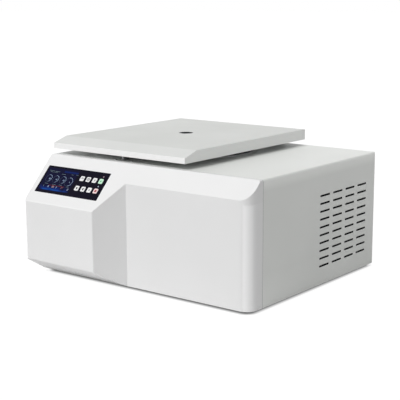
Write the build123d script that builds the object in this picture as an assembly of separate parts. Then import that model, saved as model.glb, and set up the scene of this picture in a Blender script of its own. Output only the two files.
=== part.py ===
from build123d import *
from math import atan2, cos, radians, sin, tan
import os

# Refrigerated bench centrifuge, in millimetres.
# The origin is on the floor under the middle of the footprint: +X to the right, -Y to the front, +Z up.

# Body
body_width = 620.0
body_depth = 535.0
deck_height = 286.0
sheet = 1.5
bend_radius = 5.0
rear_corner_radius = 10.0
rear_top_radius = 3.0
return_flange_width = 24.0
panel_gap = 0.3
touch_gap = 0.1

# Front bezel
bezel_wall = 3.2
front_corner_radius = 28.0
block_corner_radius = 8.0
edge_radius = 2.5
wall_edge_radius = 3.5
seam_setback = 47.0
seam_gap = 0.6
lip_depth = 8.0
slope_setback = 37.6
slope_drop = 39.4
block_projection = 59.0
block_width = 223.0
block_root_width = 274.5
undercut_rise = 36.0

# Rubber feet
foot_height = 6.5
foot_radius = 16.0
foot_taper = 2.0
foot_side_inset = 48.0
foot_front_inset = 80.0
foot_rear_inset = 50.0
foot_recess_radius = 5.5
foot_recess_depth = 3.5
foot_screw_radius = 1.75
foot_screw_head_radius = 4.0
foot_screw_head_height = 1.5
foot_screw_length = 12.0

# Base pan
pan_flange_height = 25.0
tongue_setback = 8.0
tongue_side_gap = 4.0

# Side vents
vent_columns = 4
vent_rows = 10
vent_length = 42.0
vent_height = 4.6
vent_pitch = 56.2
vent_row_pitch = 18.4
vent_centre_depth = 381.0
vent_centre_height = 132.4

# Lid
lid_gap = 13.4
lid_thickness = 26.0
lid_width = 411.0
lid_side_inset = 1.2
lid_front_inset = 43.4
lid_bevel_depth = 43.5
lid_bevel_drop = 13.1
lid_wall = 2.5
lid_edge_radius = 1.0
liner_thickness = 2.5
foam_gap = 0.2
liner_screw_inset = 26.0
liner_screw_length = 9.0
small_screw_radius = 1.5
small_screw_head_radius = 3.0
small_screw_head_height = 1.6

# Viewing port
port_radius = 18.0
port_wall = 3.0
port_ledge = 2.5
port_flange_width = 6.0
port_flange_height = 2.0
port_recess = 0.5
port_window_thickness = 4.0
port_ledge_height = 2.0

# Hinges
hinge_barrel_radius = 5.0
hinge_setback = 6.0
hinge_pin_radius = 2.5
hinge_running_gap = 0.05
hinge_length = 50.0
hinge_knuckles = 5
hinge_knuckle_gap = 0.3
hinge_leaf_thickness = 2.0
hinge_leaf_height = 21.0
hinge_half_spacing = 112.0
hinge_screw_half_pitch = 16.0
hinge_screw_length = 7.0
hinge_pin_overhang = 1.5
body_leaf_drop = 1.0
lid_leaf_rise = 1.5
lid_leaf_screw_rise = 1.0

# Chamber
chamber_rear_distance = 231.0
bowl_radius = 160.0
bowl_depth = 150.0
bowl_wall = 1.2
bowl_corner_radius = 12.0
bowl_flange_width = 14.0
bowl_floor_hole_radius = 32.0
mouth_clearance = 0.5
gasket_width = 10.0
gasket_base_height = 3.0
gasket_shoulder_height = 5.0
gasket_lip_width = 4.0
gasket_lip_taper = 1.0
gasket_squeeze_gap = 0.3
gasket_rim_inset = 1.0
coil_tube_radius = 4.0
coil_turns = 7
coil_pitch = 14.0
coil_start_height = 16.0
foam_wall_thickness = 24.8
foam_floor_thickness = 18.0
foam_hole_margin = 6.0

# Drive
motor_radius = 55.0
motor_wall = 4.0
motor_cap_thickness = 9.0
motor_end_thickness = 2.0
motor_bore_gap = 1.0
motor_floor_gap = 8.0
motor_top_gap = 12.0
motor_neck_radius = 22.0
motor_neck_height = 9.0
motor_flange_radius = 74.0
motor_flange_thickness = 8.0
plate_half_width = 105.0
plate_thickness = 4.0
damper_height = 40.0
damper_radius = 18.0
damper_waist = 3.0
damper_rim = 4.0
damper_offset = 82.0
bearing_radius = 17.0
bearing_width = 9.0
shaft_radius = 10.0
shaft_clearance = 0.05
shaft_end_overhang = 1.5
shaft_neck_rise = 4.0
cone_shoulder = 2.0
cone_base_radius = 12.0
cone_top_radius = 8.0
cone_length = 55.0
thread_radius = 6.0
thread_rise = 21.0
stator_inner_radius = 33.0
stator_end_gap = 12.4
armature_gap = 0.8
boot_wall = 2.0
boot_lip_radius = 40.0
boot_lip_thickness = 2.5
boot_lip_taper = 2.0
boot_flange_width = 4.0
boot_foot_gap = 1.0

# Rotor
rotor_radius = 113.0
rotor_floor_gap = 14.0
rotor_height = 100.0
rotor_rim_radius = 84.0
rotor_dish_radius = 78.0
rotor_hub_radius = 32.0
rotor_belt_low = 14.0
rotor_belt_high = 26.0
rotor_base_radius = 92.0
rotor_hole_gap = 0.5
tube_count = 6
tube_bore_radius = 15.0
tube_angle = 30.0
tube_mouth_radius = 56.0
tube_pocket_length = 64.0
nut_radius = 21.0
nut_height = 30.0
nut_bore_depth = 24.0
nut_flange_width = 5.0
nut_flange_height = 5.0
nut_step = 2.0
nut_chamfer = 2.0
nut_flutes = 10
nut_flute_radius = 3.0
nut_flute_offset = 1.2
thread_gap = 0.05

# Lid lock
lock_setback = 76.0
striker_width = 20.0
striker_thickness = 4.0
striker_drop = 48.0
striker_plate_length = 44.0
striker_plate_width = 26.0
striker_plate_thickness = 2.0
striker_eye_width = 11.0
striker_eye_height = 10.0
striker_eye_rise = 5.0
striker_side_gap = 2.5
striker_end_gap = 6.0
lock_half_width = 20.0
lock_left = 24.0
lock_right = 38.0
lock_floor = 4.0
lock_screw_end_inset = 6.0
lock_screw_side_inset = 5.0
lock_screw_length = 10.5
lock_screw_end_gap = 1.0
bolt_radius = 3.5
bolt_running_gap = 0.05
bolt_length = 50.0
bolt_travel = 15.0
bolt_rest_gap = 1.5
solenoid_length = 40.0
solenoid_half_width = 15.0
solenoid_end_gap = 3.0

# Display window and keys, placed down the slope from its top edge
window_side_inset = 14.6
window_drop = 33.5
window_width = 203.0
window_height = 76.5
window_thickness = 2.0
window_gap = 0.2
window_ledge = 5.0
window_corner_radius = 1.5
key_columns = 4
key_first_column = 140.5
key_column_pitch = 20.0
key_first_row = 57.9
key_row_pitch = 27.4
key_width = 12.4
key_height = 13.2
key_corner_radius = 2.6
key_gap = 0.25
key_proud = 0.8
key_flange = 1.2
key_flange_thickness = 1.0
key_seat_gap = 0.25
key_travel = 0.6
lamp_rise = 13.2
lamp_radius = 1.5
lamp_recess = 0.2
board_depth = 9.0
board_thickness = 1.6
board_margin = 8.0
board_left_margin = 6.0
board_screw_inset = 4.0
board_screw_bite = 4.0
boss_radius = 4.0
lcd_left_margin = 7.0
lcd_width = 108.0
lcd_margin = 7.0
switch_size = 6.0
plunger_radius = 1.7
plunger_gap = 0.1
plunger_height = 0.6

# Cooling unit
condenser_thickness = 40.0
condenser_length = 228.0
condenser_height = 188.0
condenser_side_gap = 12.0
condenser_end_plate = 2.0
condenser_leg_width = 20.0
condenser_leg_front_inset = 10.0
condenser_leg_rear_inset = 50.0
fin_count = 30
fin_slot_width = 3.0
fin_slot_depth = 4.0
fan_size = 184.0
fan_depth = 38.0
fan_duct_radius = 84.0
fan_tip_gap = 2.5
fan_hub_radius = 28.0
fan_motor_radius = 25.0
fan_motor_length = 14.0
fan_strut_width = 8.0
fan_strut_overlap = 2.0
fan_leg_width = 20.0
fan_blade_count = 7
fan_blade_thickness = 2.5
fan_blade_pitch = 32.0
fan_blade_chord = 30.0
fan_blade_overlap = 4.0
fan_spindle_radius = 3.0
fan_spindle_setback = 6.0
fan_spindle_end_gap = 0.5
fan_cup_gap = 1.0
fan_front_gap = 4.0
compressor_radius = 70.0
compressor_height = 165.0
compressor_dome = 34.0
compressor_foot_radius = 56.0
compressor_foot_rise = 20.0
compressor_crown_radius = 43.0
compressor_crown_drop = 7.0
terminal_half_width = 28.0
terminal_projection = 14.0
terminal_low = 66.0
terminal_high = 124.0
stub_half_spacing = 24.0
stub_rise = 115.5
stub_wall = 2.0
compressor_bay_offset = 8.35
compressor_depth = 152.0
compressor_plate = 3.0
compressor_plate_length = 170.0
compressor_plate_width = 120.0
grommet_height = 14.0
grommet_radius = 12.0
grommet_waist = 2.0
grommet_inset = 16.0
grommet_stud_rise = 3.0
pipe_radius = 4.0
pipe_bend = 14.0
pipe_end_gap = 0.2
pipe_turn_distance = 26.0
header_inset = 22.0
riser_gap = 12.0
suction_offset = 20.0
capillary_radius = 1.5
capillary_bend = 8.0
capillary_run = 24.0
drier_radius = 11.0
drier_length = 90.0
drier_riser_gap = 33.3
drier_setback = 22.0
drier_floor_gap = 4.0
drier_neck_wall = 1.0
drier_neck_length = 8.0
drier_taper_length = 10.0
drier_saddle_half = 8.0

# Rear services
inlet_width = 30.0
inlet_height = 24.0
inlet_flange = 3.0
inlet_flange_width = 50.0
inlet_flange_margin = 2.0
inlet_screw_half_pitch = 20.0
inlet_body_depth = 26.0
inlet_socket_width = 24.0
inlet_socket_height = 16.0
inlet_socket_depth = 18.0
inlet_pin_length = 15.0
inlet_pin_width = 2.0
inlet_pin_height = 4.0
inlet_pin_spacing = 7.0
inlet_pin_offset = 2.0
services_height = 62.0
inlet_right_distance = 150.0
mains_switch_right_distance = 96.0
mains_switch_width = 30.0
mains_switch_height = 22.0
mains_switch_wall = 2.0
mains_switch_flange = 2.0
mains_switch_depth = 24.0
mains_switch_floor = 4.0
rocker_gap = 0.4
rocker_radius = 10.6
rocker_back = 6.0
rocker_axis_depth = 5.0
rocker_pin_radius = 1.5
rocker_hollow_radius = 24.0
rocker_hollow_depth = 3.5
fuse_right_distance = 52.0
fuse_radius = 9.0
fuse_body_length = 30.0
fuse_flange_thickness = 2.0
fuse_flange_width = 3.0
fuse_cap_height = 8.0
fuse_cap_inset = 1.5
fuse_slot_half_length = 6.0
fuse_slot_half_width = 0.8
fuse_slot_depth = 1.5
drain_radius = 6.0
drain_bore_radius = 4.0
drain_offset_x = 100.0
drain_offset_y = 90.0
drain_drop = 42.0
drain_tail = 9.0
drain_bend = 20.0
rear_vent_count = 8
rear_vent_pitch = 14.0
rear_vent_length = 90.0
rear_vent_rise = 20.0
rear_vent_right_distances = (190.0, 80.0)
rear_screw_side_inset = 40.0
rear_screw_inner_distance = 170.0
rear_screw_edge_inset = 16.0
rear_screw_heights = (55.0, 150.0)
panel_screw_bite = 4.0
drive_board_length = 100.0
drive_board_width = 86.0
drive_board_height = 18.0
drive_board_fan_gap = 7.0
drive_board_rear_gap = 40.0
standoff_radius = 3.0
standoff_inset = 6.0
heat_sink_fins = 8
heat_sink_fin = 2.0
heat_sink_pitch = 5.0
heat_sink_base = 4.0
heat_sink_height = 34.0
heat_sink_depth = 42.0
heat_sink_inset = 10.0
transformer_size = 36.0
transformer_height = 32.0
component_inset = 8.0
capacitor_count = 3
capacitor_radius = 9.0
capacitor_height = 30.0
capacitor_pitch = 22.0
capacitor_side_inset = 14.0
capacitor_rear_inset = 16.0

# Places worked out from the sizes above
hinge_projection = hinge_setback + hinge_barrel_radius
overall_depth = block_projection + body_depth + hinge_projection
left = -body_width / 2
right = body_width / 2
front = -overall_depth / 2
recess = front + block_projection
rear = recess + body_depth
seam = recess + seam_setback
slope_top = recess + slope_setback
slope_angle = atan2(slope_drop, slope_setback)
undercut_angle = atan2(undercut_rise, block_projection)
body_bottom = foot_height
pan_floor = body_bottom + sheet
deck_underside = deck_height - sheet
lid_bottom = deck_height + lid_gap
lid_top = lid_bottom + lid_thickness
lid_left = left + lid_side_inset
lid_right = lid_left + lid_width
lid_front = recess + lid_front_inset
chamber_x = (lid_left + lid_right) / 2
chamber_y = rear - chamber_rear_distance
bowl_floor = deck_height - bowl_depth
bowl_outer_radius = bowl_radius + bowl_wall
foam_bottom = bowl_floor - bowl_wall - foam_floor_thickness
foam_half_width = bowl_outer_radius + foam_wall_thickness
foam_right = chamber_x + foam_half_width
hinge_y = rear + hinge_setback
hinge_z = (deck_height + lid_bottom) / 2
plate_bottom = pan_floor + damper_height
plate_top = plate_bottom + plate_thickness
motor_bottom = pan_floor + motor_floor_gap
motor_top = foam_bottom - motor_top_gap
motor_inner_top = motor_top - motor_cap_thickness
motor_inner_bottom = motor_bottom + motor_cap_thickness
stator_bottom = motor_inner_bottom + stator_end_gap
stator_top = motor_inner_top - stator_end_gap
rotor_bottom = bowl_floor + rotor_floor_gap
hub_drop = (rotor_dish_radius - rotor_hub_radius) * tan(radians(tube_angle))
hub_top = rotor_bottom + rotor_height - hub_drop
cone_top = rotor_bottom + cone_length
lock_y = recess + lock_setback
striker_tip = lid_bottom - striker_drop
eye_z = striker_tip + striker_eye_rise + striker_eye_height / 2
lock_bottom = striker_tip - striker_side_gap - lock_floor
bolt_tip = chamber_x + striker_thickness / 2 + striker_side_gap + bolt_rest_gap
solenoid_left = chamber_x + lock_right
condenser_right = right - condenser_side_gap
condenser_left = condenser_right - condenser_thickness
fan_right = condenser_left - panel_gap
fan_left = fan_right - fan_depth
vent_y = recess + vent_centre_depth
condenser_low = vent_centre_height - condenser_height / 2
condenser_high = vent_centre_height + condenser_height / 2
condenser_front = vent_y - condenser_length / 2
compressor_x = (foam_right + right) / 2 - compressor_bay_offset
compressor_y = recess + compressor_depth
compressor_base = pan_floor + grommet_height
grommet_half_length = compressor_plate_length / 2 - grommet_inset
grommet_half_width = compressor_plate_width / 2 - grommet_inset
discharge_x = compressor_x + stub_half_spacing
suction_x = compressor_x - stub_half_spacing
stub_y = compressor_y + compressor_radius
stub_z = compressor_base + stub_rise
riser_x = foam_right + riser_gap
suction_riser_x = riser_x + suction_offset
drier_x = riser_x + drier_riser_gap
drier_front = condenser_front + drier_setback
drier_rear = drier_front + drier_length
drier_z = pan_floor + drier_radius + drier_floor_gap
header_x = (condenser_left + condenser_right) / 2
header_y = condenser_front - pipe_end_gap
coil_radius = bowl_outer_radius + foam_gap + coil_tube_radius
coil_bottom = bowl_floor + coil_start_height
coil_top = coil_bottom + coil_turns * coil_pitch
coil_outlet_x = chamber_x + coil_radius + coil_tube_radius + pipe_end_gap
drain_x = chamber_x - drain_offset_x
drain_y = chamber_y + drain_offset_y
drain_z = bowl_floor - bowl_wall - drain_drop
inlet_x = right - inlet_right_distance
mains_switch_x = right - mains_switch_right_distance
fuse_x = right - fuse_right_distance
rocker_axis_y = rear - sheet - rocker_axis_depth
hinge_centres = (chamber_x - hinge_half_spacing, chamber_x + hinge_half_spacing)
hinge_screw_xs = [x + side * hinge_screw_half_pitch for x in hinge_centres for side in (-1, 1)]
body_leaf_top = deck_height - body_leaf_drop
body_leaf_z = body_leaf_top - hinge_leaf_height / 2
lid_leaf_bottom = lid_bottom + lid_leaf_rise
lid_leaf_z = lid_leaf_bottom + hinge_leaf_height / 2 + lid_leaf_screw_rise
foot_places = [
    (x, y)
    for x in (left + foot_side_inset, right - foot_side_inset)
    for y in (recess + foot_front_inset, rear - foot_rear_inset)
]
rear_screw_places = [
    (x, deck_height - return_flange_width / 2)
    for x in (
        left + rear_screw_side_inset,
        chamber_x,
        right - rear_screw_inner_distance,
        right - rear_screw_side_inset,
    )
] + [
    (x, z)
    for x in (left + rear_screw_edge_inset, right - rear_screw_edge_inset)
    for z in rear_screw_heights
]
liner_screw_places = [
    (x, y)
    for x in (lid_left + liner_screw_inset, lid_right - liner_screw_inset)
    for y in (lid_front + liner_screw_inset, (lid_front + rear) / 2, rear - liner_screw_inset)
]
lock_screw_places = [
    (chamber_x + x, lock_y + y)
    for x in (-lock_left + lock_screw_end_inset, lock_right - lock_screw_end_inset)
    for y in (-lock_half_width + lock_screw_side_inset, lock_half_width - lock_screw_side_inset)
]
grommet_places = [
    (compressor_x + x, compressor_y + y)
    for x in (-grommet_half_length, grommet_half_length)
    for y in (-grommet_half_width, grommet_half_width)
]
window_right = window_side_inset + window_width
window_low = window_drop + window_height
board_box = (
    window_side_inset - board_left_margin,
    window_right + board_margin,
    window_drop - board_margin,
    window_low + board_margin,
)
board_screw_places = [
    (x, drop)
    for x in (board_box[0] + board_screw_inset, board_box[1] - board_screw_inset)
    for drop in (board_box[2] + board_screw_inset, board_box[3] - board_screw_inset)
]
key_places = [
    (key_first_column + column * key_column_pitch, key_first_row + row * key_row_pitch)
    for row in range(2)
    for column in range(key_columns)
]
lamp_places = [
    (x, drop - lamp_rise)
    for x, drop in (key_places[key_columns - 1], key_places[2 * key_columns - 1])
]

# How far a cut runs past the piece it is taken from
reach = 20.0


def brick(x0, x1, y0, y1, z0, z1):
    """A box from its low and high corners."""
    centre = ((x0 + x1) / 2, (y0 + y1) / 2, (z0 + z1) / 2)
    return Pos(*centre) * Box(x1 - x0, y1 - y0, z1 - z0)


def rod_x(radius, x0, x1, y, z):
    return Pos((x0 + x1) / 2, y, z) * Rot(0, 90, 0) * Cylinder(radius, x1 - x0)


def rod_y(radius, x, y0, y1, z):
    return Pos(x, (y0 + y1) / 2, z) * Rot(90, 0, 0) * Cylinder(radius, y1 - y0)


def rod_z(radius, x, y, z0, z1):
    return Pos(x, y, (z0 + z1) / 2) * Cylinder(radius, z1 - z0)


def turned(profile):
    """A solid turned about the Z axis from (radius, height) points."""
    return revolve(Plane.XZ * Polygon(*profile, align=None), Axis.Z)


def on_chamber(shape):
    """Moves a shape from the Z axis to the chamber's axis."""
    return Pos(chamber_x, chamber_y, 0) * shape


def outline(corners):
    """A flat outline through (a, b, radius) corners, each rounded by its own radius."""
    joins = []
    for index, (a, b, radius) in enumerate(corners):
        here = Vector(a, b)
        before = (Vector(*corners[index - 1][:2]) - here).normalized()
        after = (Vector(*corners[(index + 1) % len(corners)][:2]) - here).normalized()
        half = radians(before.get_angle(after)) / 2
        start = here + before * (radius / tan(half))
        end = here + after * (radius / tan(half))
        middle = here + (before + after).normalized() * (radius / sin(half) - radius)
        joins.append((start, middle, end, radius))
    edges = []
    for index, (start, middle, end, radius) in enumerate(joins):
        edges.append(Line(joins[index - 1][2], start))
        if radius > 0:
            edges.append(ThreePointArc(start, middle, end))
    return make_face(edges)


def swept_up(corners):
    """An outline in plan, swept far up and down."""
    return extrude(outline(corners), amount=2 * deck_height, both=True)


def swept_across(corners):
    """An outline of (y, z) corners, swept across the whole width."""
    return extrude(Plane.YZ * outline(corners), amount=body_width, both=True)


def swept_back(corners):
    """An outline of (x, z) corners, swept through the whole depth."""
    return extrude(Plane.XZ * outline(corners), amount=2 * body_depth, both=True)


def group(shapes):
    """Several separate solids kept as one node."""
    return Compound([solid for shape in shapes for solid in shape.solids()])


def pipe(points, radius, bend, bore=0.0):
    """A tube along straight runs with round bends."""
    path = FilletPolyline(*points, radius=bend)
    section = Plane(origin=path @ 0, z_dir=path % 0) * Circle(radius)
    tube = sweep(section, path=path)
    if bore > 0:
        tube -= sweep(Plane(origin=path @ 0, z_dir=path % 0) * Circle(bore), path=path)
    return tube


def cross_section(inset, bottom):
    """The body's section seen from the front, with its top bends, moved inwards by inset."""
    bend = bend_radius - inset
    return swept_back([
        (left + inset, bottom, 0),
        (left + inset, deck_height - inset, bend),
        (right - inset, deck_height - inset, bend),
        (right - inset, bottom, 0),
    ])


def slope_z(y, inset):
    """Height of the slope, moved inwards by inset, at depth y."""
    return deck_height - (slope_top - y) * tan(slope_angle) - inset / cos(slope_angle)


def undercut_z(y, inset):
    """Height of the undercut below the display block, moved inwards by inset, at depth y."""
    return body_bottom + (recess - y) * tan(undercut_angle) + inset / cos(undercut_angle)


def bezel_form(inset):
    """The bezel's outside, or its inside when moved inwards by the wall, open behind and below."""
    opened = reach if inset > 0 else 0.0
    back = seam + opened
    bottom = body_bottom - opened
    top = deck_height - inset
    top_edge = slope_top + inset * (1 / cos(slope_angle) - 1) / tan(slope_angle)
    round_edge = max(edge_radius - inset, 0)
    face = front + inset
    plain = recess + inset
    root = recess + (opened + inset / cos(undercut_angle)) / tan(undercut_angle) if opened else recess
    run = block_root_width - block_width
    slant = (run ** 2 + block_projection ** 2) ** 0.5
    wall_start = left + block_width + inset * (run - slant) / block_projection
    wall_end = left + block_root_width + inset * (run - slant) / block_projection
    block_side = swept_across([
        (back, bottom, 0),
        (root, bottom, 0),
        (face, undercut_z(face, inset), round_edge),
        (face, slope_z(face, inset), round_edge),
        (top_edge, top, 0),
        (back, top, 0),
    ])
    block_plan = swept_up([
        (left + inset, back, 0),
        (left + inset, face, block_corner_radius - inset),
        (wall_start, face, max(wall_edge_radius - inset, 0)),
        (wall_end, plain, 0),
        (wall_end, back, 0),
    ])
    main_side = swept_across([
        (back, bottom, 0),
        (plain, bottom, 0),
        (plain, slope_z(plain, inset), round_edge),
        (top_edge, top, 0),
        (back, top, 0),
    ])
    main_plan = swept_up([
        (left + inset, back, 0),
        (left + inset, plain, 0),
        (right - inset, plain, front_corner_radius - inset),
        (right - inset, back, 0),
    ])
    return ((block_side & block_plan) + (main_side & main_plan)) & cross_section(inset, bottom)


# Slope coordinates: x from the body's left side, drop down the slope from its top edge, height above its face
slope_plane = Plane(
    origin=(left, slope_top, deck_height),
    x_dir=(1, 0, 0),
    z_dir=(0, -sin(slope_angle), cos(slope_angle)),
)


def on_slope(x, drop, height, shape):
    return slope_plane * Pos(x, -drop, height) * shape


def slope_brick(x0, x1, drop0, drop1, z0, z1, radius=0.0):
    """A box in slope coordinates, with its upright edges rounded by radius."""
    shape = Box(x1 - x0, drop1 - drop0, z1 - z0)
    if radius > 0:
        shape = fillet(shape.edges().filter_by(Axis.Z), radius)
    return on_slope((x0 + x1) / 2, (drop0 + drop1) / 2, (z0 + z1) / 2, shape)


def front_bezel():
    """Moulded shell with the display block, open behind, with a lip that tucks under the casing."""
    shell = bezel_form(0) - bezel_form(bezel_wall)
    lip = cross_section(sheet + panel_gap, body_bottom) - cross_section(bezel_wall, body_bottom - reach)
    lip &= brick(left, right, seam - bezel_wall, seam + lip_depth, body_bottom, deck_height)
    shell += lip
    shell -= slope_brick(
        window_side_inset - window_gap, window_right + window_gap,
        window_drop - window_gap, window_low + window_gap,
        -window_thickness, reach, window_corner_radius,
    )
    shell -= slope_brick(
        window_side_inset + window_ledge, window_right - window_ledge,
        window_drop + window_ledge, window_low - window_ledge,
        -reach, 0,
    )
    for x, drop in board_screw_places:
        boss = Cylinder(boss_radius, board_depth - bezel_wall + touch_gap)
        boss -= Cylinder(small_screw_radius, board_depth)
        shell += on_slope(x, drop, -(board_depth + bezel_wall - touch_gap) / 2, boss)
    return shell


def display_window():
    """Flat printed window flush with the slope, pierced for the keys and the lamps."""
    pane = slope_brick(
        window_side_inset, window_right, window_drop, window_low, -window_thickness, 0, window_corner_radius,
    )
    for x, drop in key_places:
        half_width = key_width / 2 + key_gap
        half_height = key_height / 2 + key_gap
        pane -= slope_brick(
            x - half_width, x + half_width, drop - half_height, drop + half_height,
            -window_thickness * 2, window_thickness, key_corner_radius + key_gap,
        )
    for x, drop in lamp_places:
        pane -= on_slope(x, drop, 0, Cylinder(lamp_radius + touch_gap, 3 * window_thickness))
    return pane


def key(x, drop):
    """Key cap with the flange that keeps it behind the window."""
    cap = slope_brick(
        x - key_width / 2, x + key_width / 2, drop - key_height / 2, drop + key_height / 2,
        -window_thickness - key_seat_gap, key_proud, key_corner_radius,
    )
    half_width = key_width / 2 + key_flange
    half_height = key_height / 2 + key_flange
    cap += slope_brick(
        x - half_width, x + half_width, drop - half_height, drop + half_height,
        -window_thickness - key_seat_gap - key_flange_thickness, -window_thickness - key_seat_gap,
        key_corner_radius,
    )
    return cap


def display_board():
    """Circuit board on the bezel's four bosses."""
    board = slope_brick(*board_box, -board_depth - board_thickness, -board_depth)
    for x, drop in board_screw_places:
        hole = Cylinder(small_screw_radius + touch_gap, 3 * board_thickness)
        board -= on_slope(x, drop, -board_depth, hole)
    return board


def board_screws():
    """The four screws that hold the board on its bosses."""
    screws = []
    for x, drop in board_screw_places:
        length = board_thickness + board_screw_bite
        shank = Pos(0, 0, length / 2) * Cylinder(small_screw_radius - touch_gap / 2, length)
        head = Cylinder(small_screw_head_radius, small_screw_head_height)
        screw = shank + Pos(0, 0, -small_screw_head_height / 2) * head
        screws.append(on_slope(x, drop, -board_depth - board_thickness, screw))
    return screws


def key_switches():
    """One small switch under each key."""
    switches = []
    top = -(window_thickness + key_seat_gap + key_flange_thickness + key_travel + plunger_gap)
    for x, drop in key_places:
        half = switch_size / 2
        body = slope_brick(x - half, x + half, drop - half, drop + half, -board_depth, top - plunger_height)
        body += on_slope(x, drop, top - plunger_height, Cylinder(plunger_radius, 2 * plunger_height))
        switches.append(body)
    return group(switches)


def lcd_module():
    """Liquid crystal display between the board and the window."""
    x0 = window_side_inset + lcd_left_margin
    drop0 = window_drop + lcd_margin
    drop1 = window_low - lcd_margin
    return slope_brick(x0, x0 + lcd_width, drop0, drop1, -board_depth, -window_thickness)


def indicator_lamps():
    """Two lamps that stand on the board and show in the window."""
    length = board_depth - lamp_recess
    lamp = Cylinder(lamp_radius, length)
    return group([on_slope(x, drop, -lamp_recess - length / 2, lamp) for x, drop in lamp_places])


def rubber_feet():
    """Four round feet, hollowed below for their screws' heads."""
    foot = turned([
        (foot_recess_radius, 0),
        (foot_radius - foot_taper, 0),
        (foot_radius, foot_height),
        (foot_screw_radius + touch_gap, foot_height),
        (foot_screw_radius + touch_gap, foot_recess_depth),
        (foot_recess_radius, foot_recess_depth),
    ])
    return group([Pos(x, y, 0) * foot for x, y in foot_places])


def foot_screws():
    """The four screws that hold the feet to the pan."""
    head_low = foot_recess_depth - foot_screw_head_height
    screw = rod_z(foot_screw_head_radius, 0, 0, head_low, foot_recess_depth)
    screw += rod_z(foot_screw_radius, 0, 0, head_low, foot_recess_depth + foot_screw_length)
    return group([Pos(x, y, 0) * screw for x, y in foot_places])


def base_pan():
    """Folded tray that carries everything, with a tongue that reaches into the bezel."""
    start = seam + lip_depth + panel_gap
    outer = sheet + panel_gap
    corner = rear_corner_radius - outer
    rear_face = rear - 2 * sheet
    sides = []
    for inset in (0.0, sheet):
        sides.append(outline([
            (left + outer + inset, start, 0),
            (left + outer + inset, rear_face - inset, max(corner - inset, 0)),
            (right - outer - inset, rear_face - inset, max(corner - inset, 0)),
            (right - outer - inset, start, 0),
        ]))
    tray = extrude(Pos(0, 0, body_bottom) * sides[0], amount=pan_flange_height)
    tray -= extrude(Pos(0, 0, pan_floor) * sides[1], amount=pan_flange_height)
    tongue_left = left + front_corner_radius + tongue_side_gap
    tongue_right = right - front_corner_radius - tongue_side_gap
    tongue_front = recess + tongue_setback
    tray += brick(tongue_left, tongue_right, tongue_front, start + sheet, body_bottom, pan_floor)
    tray += brick(
        tongue_left, tongue_right, tongue_front, tongue_front + sheet, body_bottom,
        body_bottom + pan_flange_height,
    )
    for x, y in foot_places:
        tray -= rod_z(foot_screw_radius + touch_gap, x, y, 0, pan_floor + reach)
    for x, y in grommet_places:
        tray -= rod_z(foot_screw_radius, x, y, 0, pan_floor + sheet)
    return tray


def casing_form(inset):
    """The folded casing's outside, or its inside when moved inwards by the sheet."""
    opened = reach if inset > 0 else 0.0
    start = seam + seam_gap - opened
    bottom = body_bottom - opened
    corner = rear_corner_radius - inset
    plan = swept_up([
        (left + inset, start, 0),
        (left + inset, rear - inset, corner),
        (right - inset, rear - inset, corner),
        (right - inset, start, 0),
    ])
    side = swept_across([
        (start, bottom, 0),
        (rear - inset, bottom, 0),
        (rear - inset, deck_height - inset, max(rear_top_radius - inset, 0)),
        (start, deck_height - inset, 0),
    ])
    return plan & side & cross_section(inset, bottom)


def striker_slot():
    """The opening in the deck for the striker: its low and high x, then its low and high y."""
    half_thick = striker_thickness / 2 + striker_side_gap
    half_wide = striker_width / 2 + striker_end_gap
    return (chamber_x - half_thick, chamber_x + half_thick, lock_y - half_wide, lock_y + half_wide)


def casing_cover():
    """Folded cover: deck, both sides and a rear return, with the chamber mouth and the side vents."""
    cover = casing_form(0) - casing_form(sheet)
    cover -= brick(
        left + return_flange_width, right - return_flange_width, rear - reach / 2, rear + reach,
        -reach, deck_height - return_flange_width,
    )
    mouth = bowl_outer_radius + mouth_clearance
    cover -= rod_z(mouth, chamber_x, chamber_y, deck_underside - reach, deck_height + reach)
    cover -= brick(*striker_slot(), deck_underside - reach, deck_height + reach)
    slots = []
    slot = extrude(Plane.YZ * SlotOverall(vent_length, vent_height), amount=reach, both=True)
    for column in range(vent_columns):
        for row in range(vent_rows):
            y = vent_y + (column - (vent_columns - 1) / 2) * vent_pitch
            z = vent_centre_height + (row - (vent_rows - 1) / 2) * vent_row_pitch
            slots.append(Pos(right, y, z) * slot)
    cover -= slots
    for x, z in rear_screw_places:
        cover -= rod_y(small_screw_radius + touch_gap, x, rear - reach / 2, rear + reach, z)
    for x in hinge_screw_xs:
        cover -= rod_y(small_screw_radius + touch_gap, x, rear - reach / 2, rear + reach, body_leaf_z)
    for x, y in lock_screw_places:
        cover -= rod_z(small_screw_radius + touch_gap, x, y, deck_underside - reach, deck_height + reach)
    return cover


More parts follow.
